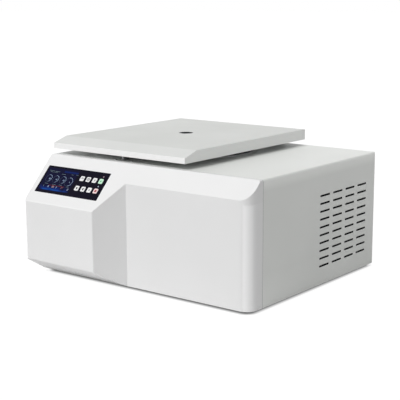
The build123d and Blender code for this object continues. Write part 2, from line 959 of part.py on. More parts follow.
def rear_panel():
    """Flat rear panel behind the casing's return, with the openings for the services and the air."""
    low_y = rear - 2 * sheet
    high_y = rear - sheet
    side = rear_corner_radius + panel_gap
    top = deck_height - rear_top_radius - panel_gap
    panel = brick(left + side, right - side, low_y, high_y, body_bottom, top)
    cut = (low_y - reach, high_y + reach)
    for centre, width, height in (
        (inlet_x, inlet_width, inlet_height),
        (mains_switch_x, mains_switch_height, mains_switch_width),
    ):
        half_w = width / 2 + panel_gap
        half_h = height / 2 + panel_gap
        panel -= brick(
            centre - half_w, centre + half_w, *cut, services_height - half_h, services_height + half_h,
        )
    panel -= rod_y(fuse_radius + panel_gap, fuse_x, *cut, services_height)
    panel -= rod_y(drain_radius + panel_gap, drain_x, *cut, drain_z)
    for x, z in rear_screw_places:
        panel -= rod_y(small_screw_radius + touch_gap, x, *cut, z)
    for x in hinge_screw_xs:
        panel -= rod_y(small_screw_radius + touch_gap, x, *cut, body_leaf_z)
    for x in (inlet_x - inlet_screw_half_pitch, inlet_x + inlet_screw_half_pitch):
        panel -= rod_y(small_screw_radius + touch_gap, x, *cut, services_height)
    slots = []
    slot = extrude(Plane.XZ * SlotOverall(rear_vent_length, vent_height), amount=reach, both=True)
    for row in range(rear_vent_count):
        offset = (row + 0.5 - rear_vent_count / 2) * rear_vent_pitch
        for distance in rear_vent_right_distances:
            slots.append(Pos(right - distance, rear, vent_centre_height + rear_vent_rise + offset) * slot)
    panel -= slots
    return panel


def screw_y(x, y, z, length):
    """Pan-head screw driven forwards, with its head's underside at y."""
    shank = rod_y(small_screw_radius, x, y - length, y, z)
    return shank + rod_y(small_screw_head_radius, x, y, y + small_screw_head_height, z)


def rear_screws():
    """The screws of the rear panel, the body's hinge leaves and the inlet."""
    screws = [screw_y(x, rear, z, 2 * sheet + panel_screw_bite) for x, z in rear_screw_places]
    for x in hinge_screw_xs:
        screws.append(screw_y(x, rear + hinge_leaf_thickness, body_leaf_z, hinge_screw_length))
    for x in (inlet_x - inlet_screw_half_pitch, inlet_x + inlet_screw_half_pitch):
        screws.append(screw_y(x, rear - sheet + inlet_flange, services_height, hinge_screw_length))
    return screws


def lid_form(inset, bottom):
    """The lid's outline with its bevelled front edge, moved inwards by inset."""
    bevel_angle = atan2(lid_bevel_drop, lid_bevel_depth)
    face = lid_front + inset
    strip_top = lid_top - lid_bevel_drop + inset * tan(bevel_angle) - inset / cos(bevel_angle)
    crest = lid_front + lid_bevel_depth + inset * (1 / cos(bevel_angle) - 1) / tan(bevel_angle)
    round_edge = max(lid_edge_radius - inset, 0)
    profile = Plane.YZ * outline([
        (face, bottom, 0),
        (face, strip_top, round_edge),
        (crest, lid_top - inset, round_edge),
        (rear - inset, lid_top - inset, round_edge),
        (rear - inset, bottom, 0),
    ])
    return Pos(lid_left + inset, 0, 0) * extrude(profile, amount=lid_width - 2 * inset)


def lid_shell():
    """Hollow lid, open below, pierced for the viewing port and the hinge screws."""
    shell = lid_form(0, lid_bottom) - lid_form(lid_wall, lid_bottom - reach)
    shell -= rod_z(port_radius, chamber_x, chamber_y, lid_bottom, lid_top + reach)
    for x in hinge_screw_xs:
        shell -= rod_y(small_screw_radius + touch_gap, x, rear - reach, rear + reach, lid_leaf_z)
    return shell


def lid_liner():
    """Plate that closes the lid from below."""
    inset = lid_wall + touch_gap
    liner = brick(
        lid_left + inset, lid_right - inset, lid_front + inset, rear - inset,
        lid_bottom, lid_bottom + liner_thickness,
    )
    liner -= rod_z(port_radius, chamber_x, chamber_y, 0, lid_top)
    for x, y in liner_screw_places:
        liner -= rod_z(small_screw_radius + touch_gap, x, y, 0, lid_top)
    return liner


def lid_foam():
    """Foam that fills the lid between its shell and its liner."""
    foam = lid_form(lid_wall + foam_gap, lid_bottom + liner_thickness)
    foam -= rod_z(port_radius, chamber_x, chamber_y, 0, lid_top + reach)
    for x, y in liner_screw_places:
        foam -= rod_z(small_screw_radius + touch_gap, x, y, 0, lid_bottom + liner_screw_length + touch_gap)
    for x in hinge_screw_xs:
        foam -= rod_y(small_screw_radius + touch_gap, x, rear - reach, rear, lid_leaf_z)
    return foam


def lid_screws():
    """The screws of the lid's hinge leaves and of its liner."""
    screws = []
    for x in hinge_screw_xs:
        screws.append(screw_y(x, rear + hinge_leaf_thickness, lid_leaf_z, hinge_screw_length))
    for x, y in liner_screw_places:
        head = rod_z(small_screw_head_radius, x, y, lid_bottom - small_screw_head_height, lid_bottom)
        screws.append(head + rod_z(small_screw_radius, x, y, lid_bottom, lid_bottom + liner_screw_length))
    return group(screws)


def port_tube():
    """Tube through the lid with a ledge for its window and a flange under the liner."""
    outer = port_radius - touch_gap
    bore = outer - port_wall
    ledge = lid_bottom + port_ledge_height
    return on_chamber(turned([
        (bore - port_ledge, lid_bottom - port_flange_height),
        (outer + port_flange_width, lid_bottom - port_flange_height),
        (outer + port_flange_width, lid_bottom),
        (outer, lid_bottom),
        (outer, lid_top - port_recess),
        (bore, lid_top - port_recess),
        (bore, ledge),
        (bore - port_ledge, ledge),
    ]))


def port_window():
    """Round pane that rests on the tube's ledge."""
    ledge = lid_bottom + port_ledge_height
    radius = port_radius - port_wall - 2 * touch_gap
    return rod_z(radius, chamber_x, chamber_y, ledge, ledge + port_window_thickness)


def lid_striker():
    """Plate under the liner with a blade whose eye takes the lock bolt."""
    half_thick = striker_thickness / 2
    half_wide = striker_width / 2
    plate = brick(
        chamber_x - striker_plate_width / 2, chamber_x + striker_plate_width / 2,
        lock_y - striker_plate_length / 2, lock_y + striker_plate_length / 2,
        lid_bottom - striker_plate_thickness, lid_bottom,
    )
    blade = brick(
        chamber_x - half_thick, chamber_x + half_thick, lock_y - half_wide, lock_y + half_wide,
        striker_tip, lid_bottom,
    )
    blade -= brick(
        chamber_x - striker_width, chamber_x + striker_width,
        lock_y - striker_eye_width / 2, lock_y + striker_eye_width / 2,
        eye_z - striker_eye_height / 2, eye_z + striker_eye_height / 2,
    )
    return plate + blade


def knuckles(centre, first):
    """The barrel pieces of one leaf: every second knuckle from the first."""
    pitch = hinge_length / hinge_knuckles
    pieces = []
    for index in range(first, hinge_knuckles, 2):
        start = centre - hinge_length / 2 + index * pitch
        pieces.append((start + hinge_knuckle_gap / 2, start + pitch - hinge_knuckle_gap / 2))
    return pieces


def hinge_leaf(centre, first, plate_low, plate_high, bore):
    """A plate on the rear face with its knuckles."""
    leaf = brick(
        centre - hinge_length / 2, centre + hinge_length / 2, rear, rear + hinge_leaf_thickness,
        plate_low, plate_high,
    )
    edge = plate_high if plate_high < hinge_z else plate_low
    web_end = edge - hinge_leaf_thickness if edge < hinge_z else edge + hinge_leaf_thickness
    for x0, x1 in knuckles(centre, first):
        leaf += rod_x(hinge_barrel_radius, x0, x1, hinge_y, hinge_z)
        leaf += brick(x0, x1, rear + touch_gap, hinge_y, min(web_end, hinge_z), max(web_end, hinge_z))
    leaf -= rod_x(bore, centre - hinge_length, centre + hinge_length, hinge_y, hinge_z)
    z = body_leaf_z if edge < hinge_z else lid_leaf_z
    for x in (centre - hinge_screw_half_pitch, centre + hinge_screw_half_pitch):
        leaf -= rod_y(small_screw_radius + touch_gap, x, rear - reach, rear + reach, z)
    return leaf


def body_hinge_leaves():
    """The leaves screwed to the body, tight on their pins."""
    low = body_leaf_top - hinge_leaf_height
    bore = hinge_pin_radius
    return group([hinge_leaf(x, 0, low, body_leaf_top, bore) for x in hinge_centres])


def lid_hinge_leaves():
    """The leaves screwed to the lid, free to turn on the pins."""
    high = lid_leaf_bottom + hinge_leaf_height
    bore = hinge_pin_radius + hinge_running_gap
    return group([hinge_leaf(x, 1, lid_leaf_bottom, high, bore) for x in hinge_centres])


def hinge_pins():
    """One pin through each hinge."""
    half = hinge_length / 2 + hinge_pin_overhang
    return group([rod_x(hinge_pin_radius, x - half, x + half, hinge_y, hinge_z) for x in hinge_centres])


def lock_housing():
    """Block under the deck with a well for the striker and a bore for the bolt."""
    housing = brick(
        chamber_x - lock_left, chamber_x + lock_right, lock_y - lock_half_width, lock_y + lock_half_width,
        lock_bottom, deck_underside,
    )
    x0, x1, y0, y1 = striker_slot()
    housing -= brick(x0, x1, y0, y1, lock_bottom + lock_floor, deck_height)
    bore_end = bolt_tip - bolt_travel - lock_floor
    housing -= rod_x(bolt_radius + bolt_running_gap, bore_end, chamber_x + lock_right + reach, lock_y, eye_z)
    for x, y in lock_screw_places:
        hole_low = deck_height - lock_screw_length - lock_screw_end_gap
        housing -= rod_z(small_screw_radius + touch_gap / 2, x, y, hole_low, deck_height)
    return housing


def lock_screws():
    """The four screws that hang the lock from the deck."""
    screws = []
    for x, y in lock_screw_places:
        head = rod_z(small_screw_head_radius, x, y, deck_height, deck_height + small_screw_head_height)
        screws.append(head + rod_z(small_screw_radius, x, y, deck_height - lock_screw_length, deck_height))
    return screws


def lock_bolt():
    """Round bolt, drawn back beside the striker's eye."""
    return rod_x(bolt_radius, bolt_tip, bolt_tip + bolt_length, lock_y, eye_z)


def lock_solenoid():
    """Coil block that drives the bolt."""
    half = solenoid_half_width
    solenoid_right = solenoid_left + solenoid_length
    body = brick(solenoid_left, solenoid_right, lock_y - half, lock_y + half, eye_z - half, eye_z + half)
    bore_end = bolt_tip + bolt_length + solenoid_end_gap
    return body - rod_x(bolt_radius + panel_gap, solenoid_left - reach, bore_end, lock_y, eye_z)


def chamber_bowl():
    """Deep-drawn stainless bowl, its rim folded over the deck."""
    rim_radius = bowl_outer_radius + bowl_flange_width
    wall = (bowl_radius, bowl_radius + bowl_wall)
    floor_low = bowl_floor - bowl_wall
    rim_top = deck_height + bowl_wall
    profile = outline([
        (bowl_floor_hole_radius, floor_low, 0),
        (wall[1], floor_low, bowl_corner_radius + bowl_wall),
        (wall[1], deck_height, 0),
        (rim_radius, deck_height, 0),
        (rim_radius, rim_top, 0),
        (wall[0], rim_top, bowl_wall),
        (wall[0], bowl_floor, bowl_corner_radius),
        (bowl_floor_hole_radius, bowl_floor, 0),
    ])
    bowl = on_chamber(revolve(Plane.XZ * profile, Axis.Z))
    bowl -= rod_z(drain_bore_radius, drain_x, drain_y, bowl_floor - reach, bowl_floor + reach)
    return bowl


def bowl_gasket():
    """Rubber lip seal on the bowl's rim, just short of the lid's liner."""
    outer = bowl_outer_radius + bowl_flange_width - gasket_rim_inset
    inner = outer - gasket_width
    seat = deck_height + bowl_wall
    top = lid_bottom - gasket_squeeze_gap
    middle = (inner + outer) / 2
    half = gasket_lip_width / 2
    return on_chamber(turned([
        (inner, seat),
        (outer, seat),
        (outer, seat + gasket_base_height),
        (middle + half, seat + gasket_shoulder_height),
        (middle + half, top - gasket_lip_taper),
        (middle + half - gasket_lip_taper, top),
        (middle - half + gasket_lip_taper, top),
        (middle - half, top - gasket_lip_taper),
        (middle - half, seat + gasket_shoulder_height),
        (inner, seat + gasket_base_height),
    ]))


def evaporator_coil():
    """Copper tube wound around the bowl."""
    path = Helix(pitch=coil_pitch, height=coil_turns * coil_pitch, radius=coil_radius)
    section = Plane(origin=path @ 0, z_dir=path % 0) * Circle(coil_tube_radius)
    tube = sweep(section, path=path, is_frenet=True)
    return Pos(chamber_x, chamber_y, coil_bottom) * tube


def insulation_foam():
    """Foam block around the bowl and its coil, bored for the drive, the drain and the pipes."""
    half = foam_half_width
    foam = brick(
        chamber_x - half, chamber_x + half, chamber_y - half, chamber_y + half, foam_bottom, deck_underside,
    )
    pocket = coil_radius + coil_tube_radius + foam_gap
    foam -= rod_z(pocket, chamber_x, chamber_y, bowl_floor - bowl_wall, deck_height)
    foam -= rod_z(bowl_floor_hole_radius + foam_hole_margin, chamber_x, chamber_y, 0, deck_height)
    foam -= rod_z(drain_radius + panel_gap, drain_x, drain_y, 0, bowl_floor)
    for radius, z in ((capillary_radius, coil_bottom), (pipe_radius, coil_top)):
        foam -= rod_x(radius + panel_gap, chamber_x + coil_radius, foam_right + reach, chamber_y, z)
    return foam


def shaft_boot():
    """Rubber sleeve from the motor's neck to the bowl's floor."""
    sleeve = motor_neck_radius + touch_gap
    hole = bowl_floor_hole_radius
    foot = motor_top + boot_foot_gap
    under = bowl_floor - bowl_wall - touch_gap
    return on_chamber(turned([
        (sleeve, foot),
        (sleeve + boot_wall, foot),
        (sleeve + boot_wall, under - boot_lip_thickness),
        (hole + boot_flange_width, under - boot_lip_thickness),
        (hole + boot_flange_width, under),
        (hole - touch_gap, under),
        (hole - touch_gap, bowl_floor + touch_gap),
        (boot_lip_radius, bowl_floor + touch_gap),
        (boot_lip_radius - boot_lip_taper, bowl_floor + boot_lip_thickness),
        (sleeve, bowl_floor + boot_lip_thickness),
    ]))


def motor_housing():
    """Motor case with end caps, a neck for the boot and a flange that sits on the motor plate."""
    inner = motor_radius - motor_wall
    bore = shaft_radius + motor_bore_gap
    low = motor_bottom - motor_end_thickness
    lower_seat = motor_inner_bottom - bearing_width
    upper_seat = motor_inner_top + bearing_width
    neck_top = motor_top + motor_neck_height
    profile = [
        (bore, low),
        (motor_radius, low),
        (motor_radius, plate_top),
        (motor_flange_radius, plate_top),
        (motor_flange_radius, plate_top + motor_flange_thickness),
        (motor_radius, plate_top + motor_flange_thickness),
        (motor_radius, motor_top),
        (motor_neck_radius, motor_top),
        (motor_neck_radius, neck_top),
        (bore, neck_top),
        (bore, upper_seat),
        (bearing_radius + touch_gap, upper_seat),
        (bearing_radius + touch_gap, motor_inner_top),
        (inner, motor_inner_top),
        (inner, motor_inner_bottom),
        (bearing_radius + touch_gap, motor_inner_bottom),
        (bearing_radius + touch_gap, lower_seat),
        (bore, lower_seat),
    ]
    return on_chamber(turned(profile))


def motor_bearings():
    """The shaft's two bearings in the motor's end caps."""
    rings = []
    for low in (motor_inner_bottom - bearing_width, motor_inner_top):
        ring = turned([
            (shaft_radius + shaft_clearance, low),
            (bearing_radius, low),
            (bearing_radius, low + bearing_width),
            (shaft_radius + shaft_clearance, low + bearing_width),
        ])
        rings.append(on_chamber(ring))
    return group(rings)


def motor_stator():
    """Winding ring fixed in the motor's case."""
    inner = stator_inner_radius
    outer = motor_radius - motor_wall - touch_gap
    return on_chamber(turned([
        (inner, stator_bottom),
        (outer, stator_bottom),
        (outer, stator_top),
        (inner, stator_top),
    ]))


def motor_armature():
    """Ring on the shaft that turns inside the stator."""
    inner = shaft_radius + touch_gap / 2
    outer = stator_inner_radius - armature_gap
    return on_chamber(turned([
        (inner, stator_bottom),
        (outer, stator_bottom),
        (outer, stator_top),
        (inner, stator_top),
    ]))


def motor_plate():
    """Square plate that carries the motor by its flange."""
    half = plate_half_width
    plate = brick(
        chamber_x - half, chamber_x + half, chamber_y - half, chamber_y + half, plate_bottom, plate_top,
    )
    return plate - rod_z(motor_radius + panel_gap, chamber_x, chamber_y, 0, plate_top + reach)


def vibration_dampers():
    """Waisted rubber mounts between the pan and the motor plate."""
    waist = damper_radius - damper_waist
    damper = turned([
        (0, pan_floor),
        (damper_radius, pan_floor),
        (damper_radius, pan_floor + damper_rim),
        (waist, pan_floor + damper_height / 2),
        (damper_radius, plate_bottom - damper_rim),
        (damper_radius, plate_bottom),
        (0, plate_bottom),
    ])
    offsets = (-damper_offset, damper_offset)
    return group([Pos(chamber_x + x, chamber_y + y, 0) * damper for x in offsets for y in offsets])


def drive_shaft():
    """Spindle through both bearings, ending in the rotor's cone and the thread of its nut."""
    low = motor_inner_bottom - bearing_width - shaft_end_overhang
    return on_chamber(turned([
        (0, low),
        (shaft_radius, low),
        (shaft_radius, motor_top + motor_neck_height + shaft_neck_rise),
        (cone_base_radius, rotor_bottom - cone_shoulder),
        (cone_base_radius, rotor_bottom),
        (cone_top_radius, cone_top),
        (thread_radius, cone_top),
        (thread_radius, hub_top + thread_rise),
        (0, hub_top + thread_rise),
    ]))


def rotor():
    """Fixed-angle rotor: a turned body with a dished top and leaning tube pockets."""
    base = rotor_bottom
    gap = thread_gap
    body = turned([
        (cone_base_radius + gap, base),
        (rotor_base_radius, base),
        (rotor_radius, base + rotor_belt_low),
        (rotor_radius, base + rotor_belt_high),
        (rotor_rim_radius, base + rotor_height),
        (rotor_dish_radius, base + rotor_height),
        (rotor_hub_radius, hub_top),
        (thread_radius + rotor_hole_gap, hub_top),
        (thread_radius + rotor_hole_gap, cone_top + gap),
        (cone_top_radius + gap, cone_top + gap),
    ])
    lean = radians(tube_angle)
    mouth_z = hub_top + (tube_mouth_radius - rotor_hub_radius) * tan(lean)
    bottom = Vector(
        tube_mouth_radius + tube_pocket_length * sin(lean), 0, mouth_z - tube_pocket_length * cos(lean),
    )
    length = tube_pocket_length + 2 * reach
    drill = Pos(0, 0, length / 2) * Cylinder(tube_bore_radius, length) + Sphere(tube_bore_radius)
    drill = Pos(*bottom) * Rot(0, -tube_angle, 0) * drill
    for index in range(tube_count):
        body -= Rot(0, 0, index * 360 / tube_count) * drill
    return on_chamber(body)


def rotor_nut():
    """Fluted hand nut that holds the rotor on its cone."""
    seat = hub_top + touch_gap
    flange_top = seat + nut_flange_height
    grip = flange_top + nut_step
    top = seat + nut_height
    nut = turned([
        (thread_radius + thread_gap, seat),
        (nut_radius + nut_flange_width, seat),
        (nut_radius + nut_flange_width, flange_top),
        (nut_radius, grip),
        (nut_radius, top - nut_chamfer),
        (nut_radius - nut_chamfer, top),
        (0, top),
        (0, seat + nut_bore_depth),
        (thread_radius + thread_gap, seat + nut_bore_depth),
    ])
    for index in range(nut_flutes):
        flute = rod_z(nut_flute_radius, nut_radius + nut_flute_offset, 0, grip, top + reach)
        nut -= Rot(0, 0, index * 360 / nut_flutes) * flute
    return on_chamber(nut)


def condenser():
    """Finned block with end plates, standing on two legs behind the side vents."""
    rear_end = condenser_front + condenser_length
    core = brick(condenser_left, condenser_right, condenser_front, rear_end, condenser_low, condenser_high)
    pitch = (condenser_length - 2 * condenser_end_plate) / fin_count
    grooves = []
    for index in range(fin_count):
        y = condenser_front + condenser_end_plate + (index + 0.5) * pitch
        for face in (condenser_left, condenser_right):
            grooves.append(brick(
                face - fin_slot_depth, face + fin_slot_depth, y - fin_slot_width / 2, y + fin_slot_width / 2,
                condenser_low + condenser_end_plate, condenser_high - condenser_end_plate,
            ))
    core -= grooves
    for y in (condenser_front + condenser_leg_front_inset, rear_end - condenser_leg_rear_inset):
        core += brick(
            condenser_left, condenser_right, y, y + condenser_leg_width, pan_floor,
            condenser_low + condenser_end_plate,
        )
    return core


def fan_shroud():
    """Square duct with the fan's motor on four struts."""
    half = fan_size / 2
    z = vent_centre_height
    frame = brick(fan_left, fan_right, vent_y - half, vent_y + half, z - half, z + half)
    frame -= rod_x(fan_duct_radius, fan_left - reach, fan_right + reach, vent_y, z)
    motor = rod_x(fan_motor_radius, fan_left, fan_left + fan_motor_length, vent_y, z)
    for turn in (45, 135):
        strut = Box(fan_motor_length / 2, 2 * (fan_duct_radius + fan_strut_overlap), fan_strut_width)
        motor += Pos(fan_left + fan_motor_length / 4, vent_y, z) * Rot(turn, 0, 0) * strut
    motor += rod_x(fan_spindle_radius, fan_left, fan_right - fan_spindle_setback, vent_y, z)
    frame += motor
    leg = fan_leg_width
    for y in (vent_y - half, vent_y + half - leg):
        frame += brick(fan_left, fan_left + leg, y, y + leg, pan_floor, z - half + fan_strut_overlap)
    return frame


def fan_impeller():
    """Hub and pitched blades on the fan's spindle."""
    low = fan_left + fan_motor_length + fan_cup_gap
    high = fan_right - fan_front_gap
    tip = fan_duct_radius - fan_tip_gap
    root = fan_hub_radius - fan_blade_overlap
    wheel = rod_x(fan_hub_radius, low, high, 0, 0)
    for index in range(fan_blade_count):
        blade = Rot(0, 0, fan_blade_pitch) * Box(fan_blade_thickness, fan_blade_chord, tip - root)
        blade = Pos((low + high) / 2, 0, (tip + root) / 2) * blade
        wheel += Rot(index * 360 / fan_blade_count, 0, 0) * blade
    wheel &= rod_x(tip, low, high, 0, 0)
    bore_end = fan_right - fan_spindle_setback + fan_spindle_end_gap
    wheel -= rod_x(fan_spindle_radius + hinge_running_gap, low - reach, bore_end, 0, 0)
    return Pos(0, vent_y, vent_centre_height) * wheel


def compressor():
    """Domed hermetic compressor on its base plate, with a terminal box and two stubs."""
    top = compressor_base + compressor_height
    low = compressor_base
    radius = compressor_radius
    shell = revolve(Plane.XZ * outline([
        (0, low, 0),
        (compressor_foot_radius, low, 0),
        (radius, low + compressor_foot_rise, 0),
        (radius, top - compressor_dome, 0),
        (compressor_crown_radius, top - compressor_crown_drop, 0),
        (0, top, 0),
    ]), Axis.Z)
    shell = Pos(compressor_x, compressor_y, 0) * shell
    half_length = compressor_plate_length / 2
    half_width = compressor_plate_width / 2
    shell += brick(
        compressor_x - half_length, compressor_x + half_length, compressor_y - half_width,
        compressor_y + half_width, low, low + compressor_plate,
    )
    shell += brick(
        compressor_x - terminal_half_width, compressor_x + terminal_half_width,
        compressor_y - radius - terminal_projection, compressor_y, low + terminal_low, low + terminal_high,
    )
    for x in (suction_x, discharge_x):
        shell += rod_y(pipe_radius + stub_wall, x, compressor_y, stub_y, stub_z)
    for x, y in grommet_places:
        shell -= rod_z(foot_screw_radius + panel_gap, x, y, 0, low + compressor_plate)
    return shell


def compressor_grommets():
    """Rubber mounts, each with its stud through the compressor's plate."""
    stud_top = compressor_base + compressor_plate + grommet_stud_rise
    grommet = turned([
        (0, pan_floor),
        (grommet_radius, pan_floor),
        (grommet_radius - grommet_waist, pan_floor + grommet_height / 2),
        (grommet_radius, compressor_base),
        (foot_screw_radius, compressor_base),
        (foot_screw_radius, stud_top),
        (0, stud_top),
    ])
    return group([Pos(x, y, 0) * grommet for x, y in grommet_places])


def filter_drier():
    """Drier cartridge along Y in its saddle on the pan."""
    neck = pipe_radius + drier_neck_wall
    taper_end = drier_neck_length + drier_taper_length
    body = turned([
        (0, 0),
        (neck, 0),
        (neck, drier_neck_length),
        (drier_radius, taper_end),
        (drier_radius, drier_length - taper_end),
        (neck, drier_length - drier_neck_length),
        (neck, drier_length),
        (0, drier_length),
    ])
    body = Pos(drier_x, drier_front, drier_z) * Rot(-90, 0, 0) * body
    middle = (drier_front + drier_rear) / 2
    half = drier_saddle_half
    return body + brick(drier_x - half, drier_x + half, middle - half, middle + half, pan_floor, drier_z)


def refrigerant_pipes():
    """Discharge, liquid, capillary and suction lines, with round bends."""
    gap = pipe_end_gap
    turn_y = stub_y + pipe_turn_distance
    high_z = condenser_high - header_inset
    low_z = condenser_low + header_inset
    discharge = pipe([
        (discharge_x, stub_y + gap, stub_z),
        (discharge_x, turn_y, stub_z),
        (header_x, turn_y, stub_z),
        (header_x, turn_y, high_z),
        (header_x, header_y, high_z),
    ], pipe_radius, min(pipe_bend, (header_y - turn_y) * 0.9))
    liquid = pipe([
        (header_x, header_y, low_z),
        (header_x, turn_y, low_z),
        (drier_x, turn_y, low_z),
        (drier_x, turn_y, drier_z),
        (drier_x, drier_front - gap, drier_z),
    ], pipe_radius, min(pipe_bend, (header_y - turn_y) * 0.9, (low_z - drier_z) * 0.45))
    capillary = pipe([
        (drier_x, drier_rear + gap, drier_z),
        (drier_x, drier_rear + capillary_run, drier_z),
        (riser_x, drier_rear + capillary_run, drier_z),
        (riser_x, chamber_y, drier_z),
        (riser_x, chamber_y, coil_bottom),
        (coil_outlet_x, chamber_y, coil_bottom),
    ], capillary_radius, capillary_bend)
    suction = pipe([
        (coil_outlet_x, chamber_y, coil_top),
        (suction_riser_x, chamber_y, coil_top),
        (suction_riser_x, turn_y, coil_top),
        (suction_x, turn_y, coil_top),
        (suction_x, turn_y, stub_z),
        (suction_x, stub_y + gap, stub_z),
    ], pipe_radius, min(pipe_bend, (suction_x - suction_riser_x) * 0.45))
    return group([discharge, liquid, capillary, suction])


def motor_drive_board():
    """Power electronics on standoffs: board, heat sink, transformer and capacitors."""
    x1 = fan_left - drive_board_fan_gap
    x0 = x1 - drive_board_length
    y1 = rear - drive_board_rear_gap
    y0 = y1 - drive_board_width
    top = pan_floor + drive_board_height
    surface = top + board_thickness
    board = brick(x0, x1, y0, y1, top, surface)
    for x in (x0 + standoff_inset, x1 - standoff_inset):
        for y in (y0 + standoff_inset, y1 - standoff_inset):
            board += rod_z(standoff_radius, x, y, pan_floor, top)
    front_y = y0 + component_inset
    sink_x = x0 + heat_sink_inset
    sink_width = (heat_sink_fins - 1) * heat_sink_pitch + heat_sink_fin
    board += brick(
        sink_x, sink_x + sink_width, front_y, front_y + heat_sink_depth, surface, surface + heat_sink_base,
    )
    for index in range(heat_sink_fins):
        fin_x = sink_x + index * heat_sink_pitch
        board += brick(
            fin_x, fin_x + heat_sink_fin, front_y, front_y + heat_sink_depth, surface,
            surface + heat_sink_height,
        )
    transformer_x = x1 - component_inset
    board += brick(
        transformer_x - transformer_size, transformer_x, front_y, front_y + transformer_size, surface,
        surface + transformer_height,
    )
    for index in range(capacitor_count):
        x = x1 - capacitor_side_inset - index * capacitor_pitch
        board += rod_z(
            capacitor_radius, x, y1 - capacitor_rear_inset, surface, surface + capacitor_height,
        )
    return board


def power_inlet():
    """Three-pin inlet with its flange on the rear panel."""
    face = rear - sheet
    half_w = inlet_width / 2
    half_h = inlet_height / 2
    inlet = brick(
        inlet_x - inlet_flange_width / 2, inlet_x + inlet_flange_width / 2, face, face + inlet_flange,
        services_height - half_h - inlet_flange_margin, services_height + half_h + inlet_flange_margin,
    )
    inlet += brick(
        inlet_x - half_w, inlet_x + half_w, face - inlet_body_depth, face + inlet_flange,
        services_height - half_h, services_height + half_h,
    )
    mouth = face + inlet_flange
    socket_floor = mouth - inlet_socket_depth
    inlet -= brick(
        inlet_x - inlet_socket_width / 2, inlet_x + inlet_socket_width / 2, socket_floor, mouth + reach,
        services_height - inlet_socket_height / 2, services_height + inlet_socket_height / 2,
    )
    half_pin = inlet_pin_width / 2
    tall_pin = inlet_pin_height / 2
    for side in (-1, 0, 1):
        x = inlet_x + side * inlet_pin_spacing
        z = services_height + (inlet_pin_offset if side == 0 else -inlet_pin_offset)
        inlet += brick(
            x - half_pin, x + half_pin, socket_floor - half_pin, socket_floor + inlet_pin_length,
            z - tall_pin, z + tall_pin,
        )
    for x in (inlet_x - inlet_screw_half_pitch, inlet_x + inlet_screw_half_pitch):
        inlet -= rod_y(small_screw_radius + touch_gap, x, face - reach, mouth + reach, services_height)
    return inlet


def mains_switch_body():
    """Switch frame in the rear panel, hollow for its rocker."""
    face = rear - sheet
    flange = mains_switch_flange
    wall = mains_switch_wall
    half_w = mains_switch_height / 2
    half_h = mains_switch_width / 2
    x0 = mains_switch_x - half_w
    x1 = mains_switch_x + half_w
    z0 = services_height - half_h
    z1 = services_height + half_h
    body = brick(x0 - flange, x1 + flange, face, face + flange, z0 - flange, z1 + flange)
    body += brick(x0, x1, face - mains_switch_depth, face + flange, z0, z1)
    hollow_floor = face - mains_switch_depth + mains_switch_floor
    body -= brick(x0 + wall, x1 - wall, hollow_floor, face + reach, z0 + wall, z1 - wall)
    body += rod_x(rocker_pin_radius, x0 + wall / 2, x1 - wall / 2, rocker_axis_y, services_height)
    return body


def mains_rocker():
    """Curved rocker on the frame's cross pin."""
    half_w = mains_switch_height / 2 - mains_switch_wall - rocker_gap
    radius = rocker_radius
    z = services_height
    rocker = rod_x(radius, mains_switch_x - half_w, mains_switch_x + half_w, rocker_axis_y, z)
    rocker &= brick(left, right, rocker_axis_y - rocker_back, rocker_axis_y + radius, z - radius, z + radius)
    hollow_y = rocker_axis_y + radius - rocker_hollow_depth + rocker_hollow_radius
    rocker -= rod_x(rocker_hollow_radius, left, right, hollow_y, z)
    rocker -= rod_x(rocker_pin_radius + hinge_running_gap, left, right, rocker_axis_y, z)
    return rocker


def fuse_holder():
    """Round holder in the rear panel with a slotted cap."""
    face = rear - sheet
    flange_end = face + fuse_flange_thickness
    cap_end = face + fuse_cap_height
    z = services_height
    body = rod_y(fuse_radius, fuse_x, face - fuse_body_length, flange_end, z)
    body += rod_y(fuse_radius + fuse_flange_width, fuse_x, face, flange_end, z)
    body += rod_y(fuse_radius - fuse_cap_inset, fuse_x, face, cap_end, z)
    return body - brick(
        fuse_x - fuse_slot_half_length, fuse_x + fuse_slot_half_length, cap_end - fuse_slot_depth,
        cap_end + reach, z - fuse_slot_half_width, z + fuse_slot_half_width,
    )


def drain_hose():
    """Soft tube from the bowl's floor to its tail behind the rear panel."""
    start = bowl_floor - bowl_wall - touch_gap
    return pipe([
        (drain_x, drain_y, start),
        (drain_x, drain_y, drain_z),
        (drain_x, rear + drain_tail, drain_z),
    ], drain_radius, drain_bend, drain_bore_radius)


key_names = ("speed", "time", "temperature", "start", "left", "up", "right", "stop")

